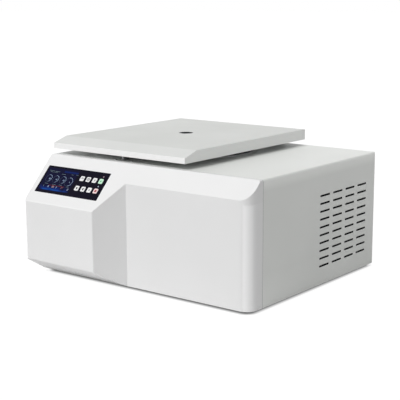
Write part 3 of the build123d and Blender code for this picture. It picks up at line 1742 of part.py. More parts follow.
parts = {
    "base_pan": base_pan(),
    "rubber_feet": rubber_feet(),
    "foot_screws": foot_screws(),
    "front_bezel": front_bezel(),
    "casing_cover": casing_cover(),
    "rear_panel": rear_panel(),
    "small_screws": group(rear_screws() + board_screws() + lock_screws()),
    "display_window": display_window(),
    "lcd_module": lcd_module(),
    "display_board": display_board(),
    "key_switches": key_switches(),
    "indicator_lamps": indicator_lamps(),
    "lid_shell": lid_shell(),
    "lid_liner": lid_liner(),
    "lid_foam": lid_foam(),
    "lid_screws": lid_screws(),
    "port_tube": port_tube(),
    "port_window": port_window(),
    "lid_striker": lid_striker(),
    "lid_hinge_leaves": lid_hinge_leaves(),
    "body_hinge_leaves": body_hinge_leaves(),
    "hinge_pins": hinge_pins(),
    "lock_housing": lock_housing(),
    "lock_bolt": lock_bolt(),
    "lock_solenoid": lock_solenoid(),
    "chamber_bowl": chamber_bowl(),
    "bowl_gasket": bowl_gasket(),
    "evaporator_coil": evaporator_coil(),
    "insulation_foam": insulation_foam(),
    "shaft_boot": shaft_boot(),
    "motor_housing": motor_housing(),
    "motor_bearings": motor_bearings(),
    "motor_stator": motor_stator(),
    "motor_armature": motor_armature(),
    "motor_plate": motor_plate(),
    "vibration_dampers": vibration_dampers(),
    "drive_shaft": drive_shaft(),
    "rotor": rotor(),
    "rotor_nut": rotor_nut(),
    "condenser": condenser(),
    "fan_shroud": fan_shroud(),
    "fan_impeller": fan_impeller(),
    "compressor": compressor(),
    "compressor_grommets": compressor_grommets(),
    "filter_drier": filter_drier(),
    "refrigerant_pipes": refrigerant_pipes(),
    "motor_drive_board": motor_drive_board(),
    "power_inlet": power_inlet(),
    "mains_switch_body": mains_switch_body(),
    "mains_rocker": mains_rocker(),
    "fuse_holder": fuse_holder(),
    "drain_hose": drain_hose(),
}
for name, (key_x, key_drop) in zip(key_names, key_places):
    parts["key_" + name] = key(key_x, key_drop)

os.makedirs("parts", exist_ok=True)
for name, shape in parts.items():
    export_step(shape, "parts/" + name + ".step")
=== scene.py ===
from math import cos, pi, radians, sin

import bmesh
import bpy
from bpy.props import FloatProperty, FloatVectorProperty, IntProperty, PointerProperty
from mathutils import Matrix, Vector


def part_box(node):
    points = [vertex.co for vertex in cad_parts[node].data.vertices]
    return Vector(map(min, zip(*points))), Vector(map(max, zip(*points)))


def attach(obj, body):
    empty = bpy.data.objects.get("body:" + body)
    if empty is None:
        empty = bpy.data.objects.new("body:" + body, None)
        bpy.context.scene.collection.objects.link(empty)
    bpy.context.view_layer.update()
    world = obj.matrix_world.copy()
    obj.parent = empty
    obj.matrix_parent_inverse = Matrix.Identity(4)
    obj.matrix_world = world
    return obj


bl_info = {
    "name": "Refrigerated bench centrifuge",
    "version": (1, 0, 0),
    "blender": (4, 5, 0),
    "location": "3D View > Sidebar > Centrifuge",
    "description": "Finishes, display graphics and small marks of a refrigerated bench centrifuge",
    "category": "Add Mesh",
}

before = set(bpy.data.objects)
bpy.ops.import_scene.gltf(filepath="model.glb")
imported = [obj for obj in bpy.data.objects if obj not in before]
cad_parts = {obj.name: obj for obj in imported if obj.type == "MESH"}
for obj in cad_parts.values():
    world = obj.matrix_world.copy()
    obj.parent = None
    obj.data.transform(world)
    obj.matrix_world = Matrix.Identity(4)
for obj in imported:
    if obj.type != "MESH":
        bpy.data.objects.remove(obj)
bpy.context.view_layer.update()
MM = 0.001


# Settings


class CoatSettings(bpy.types.PropertyGroup):
    """Colours of the outside of the machine, and the painted light and painted shade laid on it."""

    casing: FloatVectorProperty(
        name="Casing", description="Powder coat of the folded casing", subtype="COLOR", size=4,
        default=(0.825, 0.84, 0.815, 1), min=0, max=1,
    )
    bezel: FloatVectorProperty(
        name="Front bezel", description="Moulded plastic of the front", subtype="COLOR", size=4,
        default=(0.85, 0.85, 0.85, 1), min=0, max=1,
    )
    lid_top: FloatVectorProperty(
        name="Lid top", description="Coat of the lid's flat top", subtype="COLOR", size=4,
        default=(0.676, 0.689, 0.667, 1), min=0, max=1,
    )
    # Painted light: the lid's bevel, upright front edge and sides are its one coat painted lighter than its
    # top
    lid_bevel_painted_light: FloatVectorProperty(
        name="Lid bevel", description="Coat of the lid's bevelled front edge", subtype="COLOR", size=4,
        default=(0.74, 0.75, 0.735, 1), min=0, max=1,
    )
    lid_edge_painted_light: FloatVectorProperty(
        name="Lid edge", description="Coat of the lid's upright front edge", subtype="COLOR", size=4,
        default=(0.975, 0.975, 0.97, 1), min=0, max=1,
    )
    lid_side_painted_light: FloatVectorProperty(
        name="Lid side", description="Coat of the lid's two sides", subtype="COLOR", size=4,
        default=(0.965, 0.975, 0.96, 1), min=0, max=1,
    )
    # Painted light: the display block's face and the rounded front corner are painted lighter than the rest
    # of the front
    block_painted_light_share: FloatProperty(
        name="Block brightness", description="How much lighter the display block's face is than the front",
        default=1.04, min=0.5, max=1.15,
    )
    corner_painted_light_share: FloatProperty(
        name="Corner brightness", description="How much lighter the rounded front corner is than the front",
        default=1.165, min=0.5, max=1.17,
    )
    # Painted light: the casing's side is painted lighter just below its upper bend and along its foot
    bend_painted_light_share: FloatProperty(
        name="Bend brightness", description="How much lighter the casing's side is just below its upper bend",
        default=1.18, min=0.5, max=1.19,
    )
    foot_painted_light_share: FloatProperty(
        name="Foot brightness", description="How much lighter the casing's right side is at its lower edge",
        default=1.1, min=0.5, max=1.19,
    )
    # Painted shade: the inside of the casing behind the side vents is painted near black, so the slots look
    # dark
    vent_painted_shade: FloatVectorProperty(
        name="Vent lining", description="Dark lining behind the side vents", subtype="COLOR", size=4,
        default=(0.006, 0.006, 0.006, 1), min=0, max=1,
    )
    seam_line: FloatVectorProperty(
        name="Seam line", description="Bare cut edges where the front meets the casing", subtype="COLOR",
        size=4, default=(0.30, 0.31, 0.30, 1), min=0, max=1,
    )
    rear: FloatVectorProperty(
        name="Rear panel", description="Powder coat of the rear panel", subtype="COLOR", size=4,
        default=(0.70, 0.71, 0.69, 1), min=0, max=1,
    )


class DisplaySettings(bpy.types.PropertyGroup):
    """Sizes and colours of the display window and what it shows."""

    slope_angle: FloatProperty(
        name="Slope angle", description="Tilt of the display window from level", subtype="ANGLE",
        default=radians(46.339), min=0, max=pi / 2,
    )
    window_height: FloatProperty(
        name="Window height", description="Length of the window down the slope", subtype="DISTANCE",
        unit="LENGTH", default=76.5 * MM, min=10 * MM, max=0.3,
    )
    screen_width: FloatProperty(
        name="Screen width", description="Width of the lit screen", subtype="DISTANCE", unit="LENGTH",
        default=101 * MM, min=10 * MM, max=0.3,
    )
    screen_height: FloatProperty(
        name="Screen height", description="Height of the lit screen", subtype="DISTANCE", unit="LENGTH",
        default=63 * MM, min=10 * MM, max=0.3,
    )
    screen_inset: FloatProperty(
        name="Screen inset", description="Distance from the window's upper left edges to the screen",
        subtype="DISTANCE", unit="LENGTH", default=5.5 * MM, min=0, max=0.1,
    )
    dial_radius: FloatProperty(
        name="Dial radius", description="Radius of the four round dials on the screen", subtype="DISTANCE",
        unit="LENGTH", default=9.6 * MM, min=1 * MM, max=0.05,
    )
    line_width: FloatProperty(
        name="Line width", description="Width of the dials' lines", subtype="DISTANCE", unit="LENGTH",
        default=0.75 * MM, min=0.1 * MM, max=5 * MM,
    )
    ink_lift: FloatProperty(
        name="Ink lift", description="Thickness of one printed or lit layer", subtype="DISTANCE",
        unit="LENGTH", default=0.06 * MM, min=0.01 * MM, max=1 * MM,
    )
    glow: FloatProperty(
        name="Glow", description="Strength of the lit signs on the screen", default=0.55, min=0, max=5,
    )
    ground: FloatVectorProperty(
        name="Ground", description="Dark ground of the screen", subtype="COLOR", size=4,
        default=(0.003, 0.0032, 0.019, 1), min=0, max=1,
    )
    signs: FloatVectorProperty(
        name="Signs", description="Dials and figures on the screen", subtype="COLOR", size=4,
        default=(0.25, 0.33, 0.46, 1), min=0, max=1,
    )
    window: FloatVectorProperty(
        name="Window", description="Back-printed border of the window", subtype="COLOR", size=4,
        default=(0.0045, 0.0038, 0.0105, 1), min=0, max=1,
    )


class KeySettings(bpy.types.PropertyGroup):
    """Sizes and colours of the keys and their symbols."""

    cap: FloatVectorProperty(
        name="Caps", description="White key caps", subtype="COLOR", size=4,
        default=(0.93, 0.93, 0.93, 1), min=0, max=1,
    )
    start: FloatVectorProperty(
        name="Start", description="Cap of the start key", subtype="COLOR", size=4,
        default=(0.60, 0.90, 0.68, 1), min=0, max=1,
    )
    stop: FloatVectorProperty(
        name="Stop", description="Cap of the stop key", subtype="COLOR", size=4,
        default=(0.93, 0.72, 0.72, 1), min=0, max=1,
    )
    ink: FloatVectorProperty(
        name="Ink", description="Symbols printed on the caps", subtype="COLOR", size=4,
        default=(0.015, 0.015, 0.018, 1), min=0, max=1,
    )
    symbol_size: FloatProperty(
        name="Symbol size", description="Width of a key's symbol", subtype="DISTANCE", unit="LENGTH",
        default=6.2 * MM, min=1 * MM, max=12 * MM,
    )
    symbol_line: FloatProperty(
        name="Symbol line", description="Width of a symbol's lines", subtype="DISTANCE", unit="LENGTH",
        default=1.3 * MM, min=0.2 * MM, max=3 * MM,
    )


class FittingSettings(bpy.types.PropertyGroup):
    """Sizes of the marks and small fittings."""

    number_height: FloatProperty(
        name="Number height", description="Height of the numbers beside the rotor's pockets",
        subtype="DISTANCE", unit="LENGTH", default=3.6 * MM, min=1 * MM, max=10 * MM,
    )
    pocket_count: IntProperty(
        name="Pockets", description="Number of tube pockets in the rotor", default=6, min=1, max=12,
    )
    pin_plating: FloatProperty(
        name="Pin plating", description="Thickness of the metal on the inlet's pins", subtype="DISTANCE",
        unit="LENGTH", default=0.08 * MM, min=0.01 * MM, max=1 * MM,
    )
    cross_width: FloatProperty(
        name="Cross width", description="Width of the arms of a screw's cross recess", subtype="DISTANCE",
        unit="LENGTH", default=0.8 * MM, min=0.1 * MM, max=2 * MM,
    )


class StageSettings(bpy.types.PropertyGroup):
    """Camera, lamp and surroundings."""

    camera_place: FloatVectorProperty(
        name="Camera place", description="Where the camera stands", subtype="TRANSLATION", unit="LENGTH",
        default=(1.511808, -1.941376, 0.666988),
    )
    camera_yaw: FloatProperty(
        name="Yaw", description="Turn of the camera to the left of straight back", subtype="ANGLE",
        default=0.6657,
    )
    camera_pitch: FloatProperty(
        name="Pitch", description="Tilt of the camera below level", subtype="ANGLE", default=0.1975,
    )
    camera_roll: FloatProperty(
        name="Roll", description="Turn of the camera about its own line of sight", subtype="ANGLE",
        default=-0.0042,
    )
    lens: FloatProperty(
        name="Lens", description="Focal length on a 36 mm sensor, in millimetres", default=92.611, min=10,
        max=300,
    )
    sun_direction: FloatVectorProperty(
        name="Sun direction", description="From the object towards the sun", subtype="DIRECTION",
        default=(-0.187, -0.614, 0.78),
    )
    sun_strength: FloatProperty(
        name="Sun strength", description="Strength of the one soft lamp", default=1.91, min=0, max=10,
    )
    sun_softness: FloatProperty(
        name="Sun softness", description="How wide the lamp looks from the object", subtype="ANGLE",
        default=radians(28), min=0, max=pi,
    )
    # Where the painted contact shadow on the floor lies round the body's foot
    foot_setback: FloatProperty(
        name="Foot setback", description="From the display block's face back to the front of the body's foot",
        subtype="DISTANCE", unit="LENGTH", default=59 * MM, min=0, max=0.2,
    )
    foot_corner: FloatProperty(
        name="Foot corner", description="Corner radius of the dark contact line round the body's foot",
        subtype="DISTANCE", unit="LENGTH", default=28 * MM, min=1 * MM, max=0.2,
    )
    sky_strength: FloatProperty(
        name="Sky strength", description="Strength of the even light from all round", default=0.357, min=0,
        max=5,
    )


# Shader effects that several finishes share


def feed(tree, node, values):
    """Joins other sockets to a node's inputs, or writes plain values on them."""
    for name, value in values.items():
        if isinstance(value, bpy.types.NodeSocket):
            tree.links.new(value, node.inputs[name])
        else:
            node.inputs[name].default_value = value


def add_node(tree, kind, values, **settings):
    """A new shader node with its settings, and its inputs fed by sockets or plain values."""
    node = tree.nodes.new("ShaderNode" + kind)
    for name, value in settings.items():
        setattr(node, name, value)
    feed(tree, node, values)
    return node


def add_math(tree, operation, first, second=0.0):
    """A Math node's value."""
    return add_node(tree, "Math", {0: first, 1: second}, operation=operation).outputs[0]


def add_vector_math(tree, operation, first, second=(0, 0, 0), output="Vector"):
    """A Vector Math node's vector, or its value."""
    return add_node(tree, "VectorMath", {0: first, 1: second}, operation=operation).outputs[output]


def add_split(tree, vector):
    """The X, Y and Z of a vector."""
    return add_node(tree, "SeparateXYZ", {0: vector}).outputs


def add_noise(tree, vector, scale, detail):
    """A noise texture's value."""
    return add_node(tree, "TexNoise", {"Vector": vector, "Scale": scale, "Detail": detail}).outputs["Fac"]


def add_cells(tree, vector, scale):
    """How far each point is from the middle of its cell."""
    return add_node(tree, "TexVoronoi", {"Vector": vector, "Scale": scale}).outputs["Distance"]


def add_colour_mix(tree, factor, first, second):
    """A blend of two colours."""
    node = add_node(tree, "Mix", {"Factor": factor, "A": first, "B": second}, data_type="RGBA")
    return next(socket for socket in node.outputs if socket.type == "RGBA")


def add_range(tree, value, low, high, to_low=0.0, to_high=1.0):
    """Maps a value from one range to another and holds it there."""
    values = {"Value": value, "From Min": low, "From Max": high, "To Min": to_low, "To Max": to_high}
    return add_node(tree, "MapRange", values).outputs["Result"]


def add_average(tree, first, second):
    """The mean of two values."""
    return add_math(tree, "MULTIPLY", add_math(tree, "ADD", first, second), 0.5)


def add_contrast(tree, value, reach=0.15):
    """Stretches the values within reach of one half over the whole range."""
    return add_range(tree, value, 0.5 - reach, 0.5 + reach)


def start_effect(name, inputs, outputs):
    """A new shader node group with named sockets: its tree, what it is given and its end node."""
    tree = bpy.data.node_groups.new(name, "ShaderNodeTree")
    for socket, kind, default in inputs:
        made = tree.interface.new_socket(name=socket, in_out="INPUT", socket_type="NodeSocket" + kind)
        made.default_value = default
    for socket, kind in outputs:
        tree.interface.new_socket(name=socket, in_out="OUTPUT", socket_type="NodeSocket" + kind)
    return tree, tree.nodes.new("NodeGroupInput").outputs, tree.nodes.new("NodeGroupOutput")


SURFACE_INPUTS = (
    ("Place", "Vector", (0, 0, 0)),
    ("Colour", "Color", (0.8, 0.8, 0.8, 1)),
    ("Second Colour", "Color", (0.7, 0.7, 0.7, 1)),
    ("Sheen", "Float", 0.5),
    ("Sheen Spread", "Float", 0.1),
    ("Grain", "Float", 800.0),
    ("Patches", "Float", 6.0),
)
SURFACE_OUTPUTS = (("Colour", "Color"), ("Roughness", "Float"), ("Height", "Float"))


def start_surface_effect(name, detail):
    """Starts a surface effect: its tree, what it is given, its end node and its broad soft patches."""
    tree, given, end = start_effect(name, SURFACE_INPUTS, SURFACE_OUTPUTS)
    return tree, given, end, add_noise(tree, given["Place"], given["Patches"], detail)


def end_surface_effect(tree, given, end, shade, height):
    """Joins a shade mask to the colour and the roughness of a surface effect, and a height to its relief."""
    spread = add_math(tree, "MULTIPLY", add_math(tree, "SUBTRACT", shade, 0.5), given["Sheen Spread"])
    feed(tree, end, {
        "Colour": add_colour_mix(tree, shade, given["Colour"], given["Second Colour"]),
        "Roughness": add_math(tree, "ADD", given["Sheen"], spread),
        "Height": height,
    })
    return tree


def coat_grain():
    """Orange peel and faint cloudiness of a sprayed coat or a moulded skin."""
    tree, given, end, cloud = start_surface_effect("Coat grain", 4.0)
    grain = add_noise(tree, given["Place"], given["Grain"], 2.0)
    return end_surface_effect(tree, given, end, add_contrast(tree, cloud), grain)


def brush_marks():
    """Fine lines along X of brushed or rolled metal."""
    tree, given, end, cloud = start_surface_effect("Brush marks", 2.0)
    line_stretch = (0.02, 1.0, 1.0)
    stretched = add_vector_math(tree, "MULTIPLY", given["Place"], line_stretch)
    lines = add_noise(tree, stretched, given["Grain"], 3.0)
    return end_surface_effect(tree, given, end, add_contrast(tree, add_average(tree, lines, cloud)), lines)


def turning_marks():
    """Fine rings about Z, as a lathe or a deep-drawing press leaves."""
    tree, given, end, cloud = start_surface_effect("Turning marks", 2.0)
    across, along, height = add_split(tree, given["Place"])
    squares = [add_math(tree, "MULTIPLY", side, side) for side in (across, along)]
    radius = add_math(tree, "SQRT", add_math(tree, "ADD", *squares))
    values = {"W": add_math(tree, "ADD", radius, height), "Scale": given["Grain"], "Detail": 3.0}
    rings = add_node(tree, "TexNoise", values, noise_dimensions="1D").outputs["Fac"]
    return end_surface_effect(tree, given, end, add_contrast(tree, add_average(tree, rings, cloud)), rings)


def open_cells():
    """Cells of foam, or the pores of a cast or moulded rubber skin."""
    tree, given, end, cloud = start_surface_effect("Open cells", 3.0)
    cells = add_cells(tree, given["Place"], given["Grain"])
    return end_surface_effect(tree, given, end, add_contrast(tree, cloud, 0.2), cells)


def board_tracks():
    """Copper tracks and pads under the lacquer of a circuit board."""
    tree, given, end, cloud = start_surface_effect("Board tracks", 1.0)
    grown = add_node(tree, "VectorMath", {0: given["Place"], "Scale": given["Grain"]}, operation="SCALE")
    values = {"Vector": grown.outputs[0], "Scale": 1.0, "Mortar Size": 0.06}
    bricks = add_node(tree, "TexBrick", values).outputs["Fac"]
    tracks = add_math(tree, "MULTIPLY", bricks, add_contrast(tree, cloud, 0.05))
    return end_surface_effect(tree, given, end, tracks, tracks)


def layered_winding():
    """Side-by-side turns of wire about Z, or the pressed sheets of a core."""
    tree, given, end, cloud = start_surface_effect("Layered winding", 2.0)
    values = {"Vector": given["Place"], "Scale": given["Grain"], "Distortion": 0.4}
    turns = add_node(tree, "TexWave", values, bands_direction="Z").outputs["Fac"]
    return end_surface_effect(tree, given, end, add_average(tree, turns, cloud), turns)


DUST_CLOUDS = 30.0
DUST_CLOUD_DETAIL = 5.0
DUST_ROUGHENING = 0.4


def settled_dust():
    """A thin film of dust on what faces upwards, laid over another effect."""
    inputs = (
        ("Place", "Vector", (0, 0, 0)),
        ("Colour", "Color", (0.5, 0.5, 0.5, 1)),
        ("Roughness", "Float", 0.5),
        ("Amount", "Float", 0.3),
        ("Dust Colour", "Color", (0.42, 0.41, 0.38, 1)),
    )
    tree, given, end = start_effect("Settled dust", inputs, (("Colour", "Color"), ("Roughness", "Float")))
    facing = tree.nodes.new("ShaderNodeNewGeometry").outputs["Normal"]
    upwards = add_range(tree, add_split(tree, facing)["Z"], 0.5, 1.0)
    clouds = add_noise(tree, given["Place"], DUST_CLOUDS, DUST_CLOUD_DETAIL)
    patchy = add_range(tree, clouds, 0.35, 0.7, 0.3, 1.0)
    film = add_math(tree, "MULTIPLY", add_math(tree, "MULTIPLY", upwards, patchy), given["Amount"])
    roughening = add_math(tree, "MULTIPLY", film, DUST_ROUGHENING)
    feed(tree, end, {
        "Colour": add_colour_mix(tree, film, given["Colour"], given["Dust Colour"]),
        "Roughness": add_math(tree, "ADD", given["Roughness"], roughening),
    })
    return tree


SCREEN_POOLS = 38.0
SCREEN_POOL_DETAIL = 1.0
SCREEN_ROUGHNESS = (0.2, 0.3)


def screen_cells():
    """Fine cells of a lit screen, brighter in pools between two levels of Y."""
    inputs = (
        ("Place", "Vector", (0, 0, 0)),
        ("Colour", "Color", (0.1, 0.2, 0.5, 1)),
        ("Glow Colour", "Color", (0.1, 0.3, 0.9, 1)),
        ("Cells", "Float", 3000.0),
        ("Glow Start", "Float", 0.0),
        ("Glow End", "Float", 0.01),
    )
    tree, given, end = start_effect("Screen cells", inputs, (("Colour", "Color"), ("Roughness", "Float")))
    place = given["Place"]
    rise = add_range(tree, add_split(tree, place)["Y"], given["Glow Start"], given["Glow End"])
    pools = add_noise(tree, place, SCREEN_POOLS, SCREEN_POOL_DETAIL)
    glow = add_math(tree, "MULTIPLY", rise, add_range(tree, pools, 0.42, 0.62))
    feed(tree, end, {
        "Colour": add_colour_mix(tree, glow, given["Colour"], given["Glow Colour"]),
        "Roughness": add_range(tree, add_cells(tree, place, given["Cells"]), 0.0, 1.0, *SCREEN_ROUGHNESS),
    })
    return tree


def box_mask():
    """One inside a box, fading to nothing over a short way outside it."""
    inputs = (
        ("Place", "Vector", (0, 0, 0)),
        ("Middle", "Vector", (0, 0, 0)),
        ("Half Size", "Vector", (0.01, 0.01, 0.01)),
        ("Fade", "Float", 0.0001),
    )
    tree, given, end = start_effect("Box mask", inputs, (("Mask", "Float"),))
    offset = add_vector_math(tree, "SUBTRACT", given["Place"], given["Middle"])
    away = add_vector_math(tree, "ABSOLUTE", offset)
    across, along, height = add_split(tree, add_vector_math(tree, "SUBTRACT", away, given["Half Size"]))
    widest = add_math(tree, "MAXIMUM", add_math(tree, "MAXIMUM", across, along), height)
    share = add_math(tree, "DIVIDE", widest, given["Fade"])
    feed(tree, end, {"Mask": add_range(tree, share, 0.0, 1.0, 1.0, 0.0)})
    return tree


EFFECT_MAKERS = {
    "coat": coat_grain,
    "brush": brush_marks,
    "turning": turning_marks,
    "cells": open_cells,
    "board": board_tracks,
    "winding": layered_winding,
    "dust": settled_dust,
    "screen": screen_cells,
    "box": box_mask,
}
effects = {}


def place_effect(tree, name, values):
    """Puts a shared effect in a material, with its own values."""
    if name not in effects:
        effects[name] = EFFECT_MAKERS[name]()
    return add_node(tree, "Group", values, node_tree=effects[name]).outputs


# Finishes

PATCH_SHARE = 0.985  # how bright the faint patches of a plain coat are, against the rest of it
RELIEF_HEIGHT = 0.4 * MM


def start_finish(name, centre=(0, 0, 0), turn=(0, 0, 0)):
    """A new material, its shader, and object coordinates measured from a centre and turned with it."""
    finish = bpy.data.materials.new(name)
    finish.use_nodes = True
    tree = finish.node_tree
    where = tree.nodes.new("ShaderNodeTexCoord").outputs["Object"]
    values = {"Vector": where, "Location": centre, "Rotation": turn}
    mapping = add_node(tree, "Mapping", values, vector_type="TEXTURE")
    return finish, tree, tree.nodes["Principled BSDF"], mapping.outputs["Vector"]


def scaled(colour, share=PATCH_SHARE):
    """A colour with its brightness scaled by share."""
    return (colour[0] * share, colour[1] * share, colour[2] * share, 1)


def surface_finish(
    name, effect, colour, second, sheen, spread=0.08, grain=800.0, patches=6.0, relief=0.05, metal=0.0,
    coat=0.0, specular=0.5, dust=0.0, centre=(0, 0, 0), turn=(0, 0, 0),
):
    """A finish with one surface effect, and dust over it where dust is above 0."""
    finish, tree, shader, place = start_finish(name, centre, turn)
    surface = place_effect(tree, effect, {
        "Place": place, "Colour": colour, "Second Colour": second, "Sheen": sheen, "Sheen Spread": spread,
        "Grain": grain, "Patches": patches,
    })
    last = surface
    if dust > 0:
        last = place_effect(tree, "dust", {
            "Place": place, "Colour": surface["Colour"], "Roughness": surface["Roughness"], "Amount": dust,
        })
    values = {"Strength": relief, "Distance": RELIEF_HEIGHT, "Height": surface["Height"]}
    bump = add_node(tree, "Bump", values).outputs["Normal"]
    feed(tree, shader, {
        "Base Color": last["Colour"], "Roughness": last["Roughness"], "Normal": bump, "Metallic": metal,
        "Coat Weight": coat, "Specular IOR Level": specular,
    })
    return finish


def paint_boxes(finish, boxes):
    """Lays other colours over a finish inside boxes: each is low corner, high corner, colour and fade."""
    tree = finish.node_tree
    where = tree.nodes.new("ShaderNodeTexCoord").outputs["Object"]
    last = next(node for node in tree.nodes if node.bl_idname == "ShaderNodeGroup").outputs["Colour"]
    for low, high, colour, fade in boxes:
        low, high = Vector(low), Vector(high)
        mask = place_effect(tree, "box", {
            "Place": where, "Middle": (low + high) / 2, "Half Size": (high - low) / 2, "Fade": fade,
        })
        painted = place_effect(tree, "coat", {
            "Place": where, "Colour": colour, "Second Colour": scaled(colour),
        })
        last = add_colour_mix(tree, mask["Mask"], last, painted["Colour"])
    feed(tree, tree.nodes["Principled BSDF"], {"Base Color": last})
    return finish


def lid_coat_painted_light(coats):
    """The lid's coat, greyest on the flat top, with painted light on it: the bevel is painted lighter, and
    the front edge and sides lightest.
    """
    low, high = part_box("lid_shell")
    top = tuple(coats.lid_top)
    finish = surface_finish("lid_coat_painted_light", "coat", top, scaled(top), 0.42)
    skin, side_inset, front_inset, top_inset = 0.3 * MM, 0.4 * MM, 0.5 * MM, 0.25 * MM
    bevel_back, bevel_drop = 43.3 * MM, 12.9 * MM
    crest = (high.x - side_inset, low.y + bevel_back, high.z - top_inset)
    strip = (high.x - side_inset, low.y + front_inset, high.z - bevel_drop)
    # Painted light: the sides, the bevel and the upright front edge are painted lighter than the lid's top
    return paint_boxes(finish, [
        ((high.x - skin, low.y, low.z), high, tuple(coats.lid_side_painted_light), 0.2 * MM),
        (low, (low.x + skin, high.y, high.z), tuple(coats.lid_side_painted_light), 0.2 * MM),
        (low, crest, tuple(coats.lid_bevel_painted_light), 0.3 * MM),
        (low, strip, tuple(coats.lid_edge_painted_light), 0.3 * MM),
    ])


def bezel_plastic_painted_light(coats):
    """The front's moulded plastic, with painted light: the display block's face and the rounded corner are
    painted lighter.
    """
    low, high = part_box("front_bezel")
    bezel = tuple(coats.bezel)
    finish = surface_finish("bezel_plastic_painted_light", "coat", bezel, scaled(bezel), 0.45, grain=2400.0, relief=0.03)
    face_skin, face_drop = 1.5 * MM, 50 * MM
    corner_start, corner_end, corner_drop = 16.5 * MM, 4 * MM, 52 * MM
    face = (high.x, low.y + face_skin, high.z - face_drop)
    corner_low = (high.x - corner_start, low.y, low.z)
    corner_high = (high.x - corner_end, high.y, high.z - corner_drop)
    # Painted light on the display block's face and on the rounded front corner
    return paint_boxes(finish, [
        (low, face, scaled(bezel, coats.block_painted_light_share), 1 * MM),
        (corner_low, corner_high, scaled(bezel, coats.corner_painted_light_share), 5 * MM),
    ])


def casing_coat_painted_light_and_shade(coats):
    """The casing's coat, bare at the seam, with painted light on the side just below the bend and at the
    foot, and painted shade near black behind the vents.
    """
    low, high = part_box("casing_cover")
    casing = tuple(coats.casing)
    finish = surface_finish("casing_coat_painted_light_and_shade", "coat", casing, scaled(casing), 0.42)
    side_skin, bend_drop, foot_rise, deck_skin, seam_width = 0.5 * MM, 5 * MM, 4 * MM, 1.2 * MM, 0.25 * MM
    side = high.x - side_skin
    vent_shade_outside, vent_shade_inside, vent_shade_back, vent_shade_drop = 0.1 * MM, 2 * MM, 12 * MM, 13 * MM
    vent_shade_low = (high.x - vent_shade_inside, 0, low.z)
    vent_shade_high = (high.x - vent_shade_outside, high.y - vent_shade_back, high.z - vent_shade_drop)
    seam_high = (high.x, low.y + seam_width, high.z)
    bend = scaled(casing, coats.bend_painted_light_share)
    foot = scaled(casing, coats.foot_painted_light_share)
    return paint_boxes(finish, [
        # Painted light: the side just below the upper bend, and the side along its foot, painted lighter
        ((side, low.y, high.z - bend_drop), high, bend, 22 * MM),
        ((side, low.y, low.z), (high.x, high.y, low.z + foot_rise), foot, 70 * MM),
        # The deck keeps its plain coat, clear of the painted light below the bend
        ((low.x, low.y, high.z - deck_skin), high, casing, 2.5 * MM),
        # Painted shade: the inside behind the side vents painted near black
        (vent_shade_low, vent_shade_high, tuple(coats.vent_painted_shade), 0.05 * MM),
        ((low.x, low.y - MM, low.z), seam_high, tuple(coats.seam_line), 0.05 * MM),
    ])


def clear_glass():
    """Clear glass with a faint green cast."""
    finish, tree, shader, place = start_finish("port_glass")
    surface = place_effect(tree, "coat", {
        "Place": place, "Colour": (0.93, 0.97, 0.95, 1), "Second Colour": (0.90, 0.95, 0.93, 1),
        "Sheen": 0.04, "Sheen Spread": 0.03, "Grain": 300.0, "Patches": 20.0,
    })
    feed(tree, shader, {
        "Base Color": surface["Colour"], "Roughness": surface["Roughness"], "Transmission Weight": 1.0,
        "IOR": 1.47,
    })
    return finish


SCREEN_SPECULAR = 0.035
SCREEN_CELLS = 3200.0


def lit_finish(name, colour, glow_colour=None, strength=None, glow_start=0.55, glow_end=1.08):
    """A lit layer of the screen: its colour shines, with brighter pools between two shares of its height."""
    display = bpy.context.scene.centrifuge_display
    finish, tree, shader, vector = start_finish(name, window_place().translation, (display.slope_angle, 0, 0))
    lit = place_effect(tree, "screen", {
        "Place": vector, "Colour": colour, "Glow Colour": glow_colour or colour, "Cells": SCREEN_CELLS,
        "Glow Start": -display.screen_height * glow_start, "Glow End": -display.screen_height * glow_end,
    })
    feed(tree, shader, {
        "Base Color": lit["Colour"], "Emission Color": lit["Colour"], "Roughness": lit["Roughness"],
        "Emission Strength": display.glow if strength is None else strength,
        "Specular IOR Level": SCREEN_SPECULAR,
    })
    return finish


def finish_nodes(finish, *names):
    """Gives a finish to CAD nodes."""
    for name in names:
        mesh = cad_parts[name].data
        mesh.materials.clear()
        mesh.materials.append(finish)


def axis_centre(node):
    """The middle of a CAD node's box."""
    low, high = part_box(node)
    return (low + high) / 2


def give_finishes(table):
    """Makes each finish of a table and gives it to its CAD nodes. A centre is named by a node."""
    for nodes, name, effect, colour, second, sheen, values in table:
        if "centre" in values:
            centre = axis_centre(values["centre"])
            if effect != "brush":
                centre.z = 0
            values = {**values, "centre": centre}
        finish = surface_finish(name, effect, (*colour, 1), (*second, 1), sheen, **values)
        finish_nodes(finish, *nodes.split())


# Shapes


def add_bar(shape, place, across, up, deep):
    """A thin block that stands on a face, centred on its place."""
    scale = Matrix.Diagonal((across, up, deep, 1))
    bmesh.ops.create_cube(shape, size=1.0, matrix=place @ Matrix.Translation((0, 0, deep / 2)) @ scale)


def add_disc(shape, place, radius, deep, sides=28):
    """A thin disc, or a regular polygon with few sides, that stands on a face."""
    bmesh.ops.create_cone(
        shape, cap_ends=True, cap_tris=False, segments=sides, radius1=radius, radius2=radius, depth=deep,
        matrix=place @ Matrix.Translation((0, 0, deep / 2)),
    )


FULL_TURN = 2 * pi
ARC_STEP = radians(9)


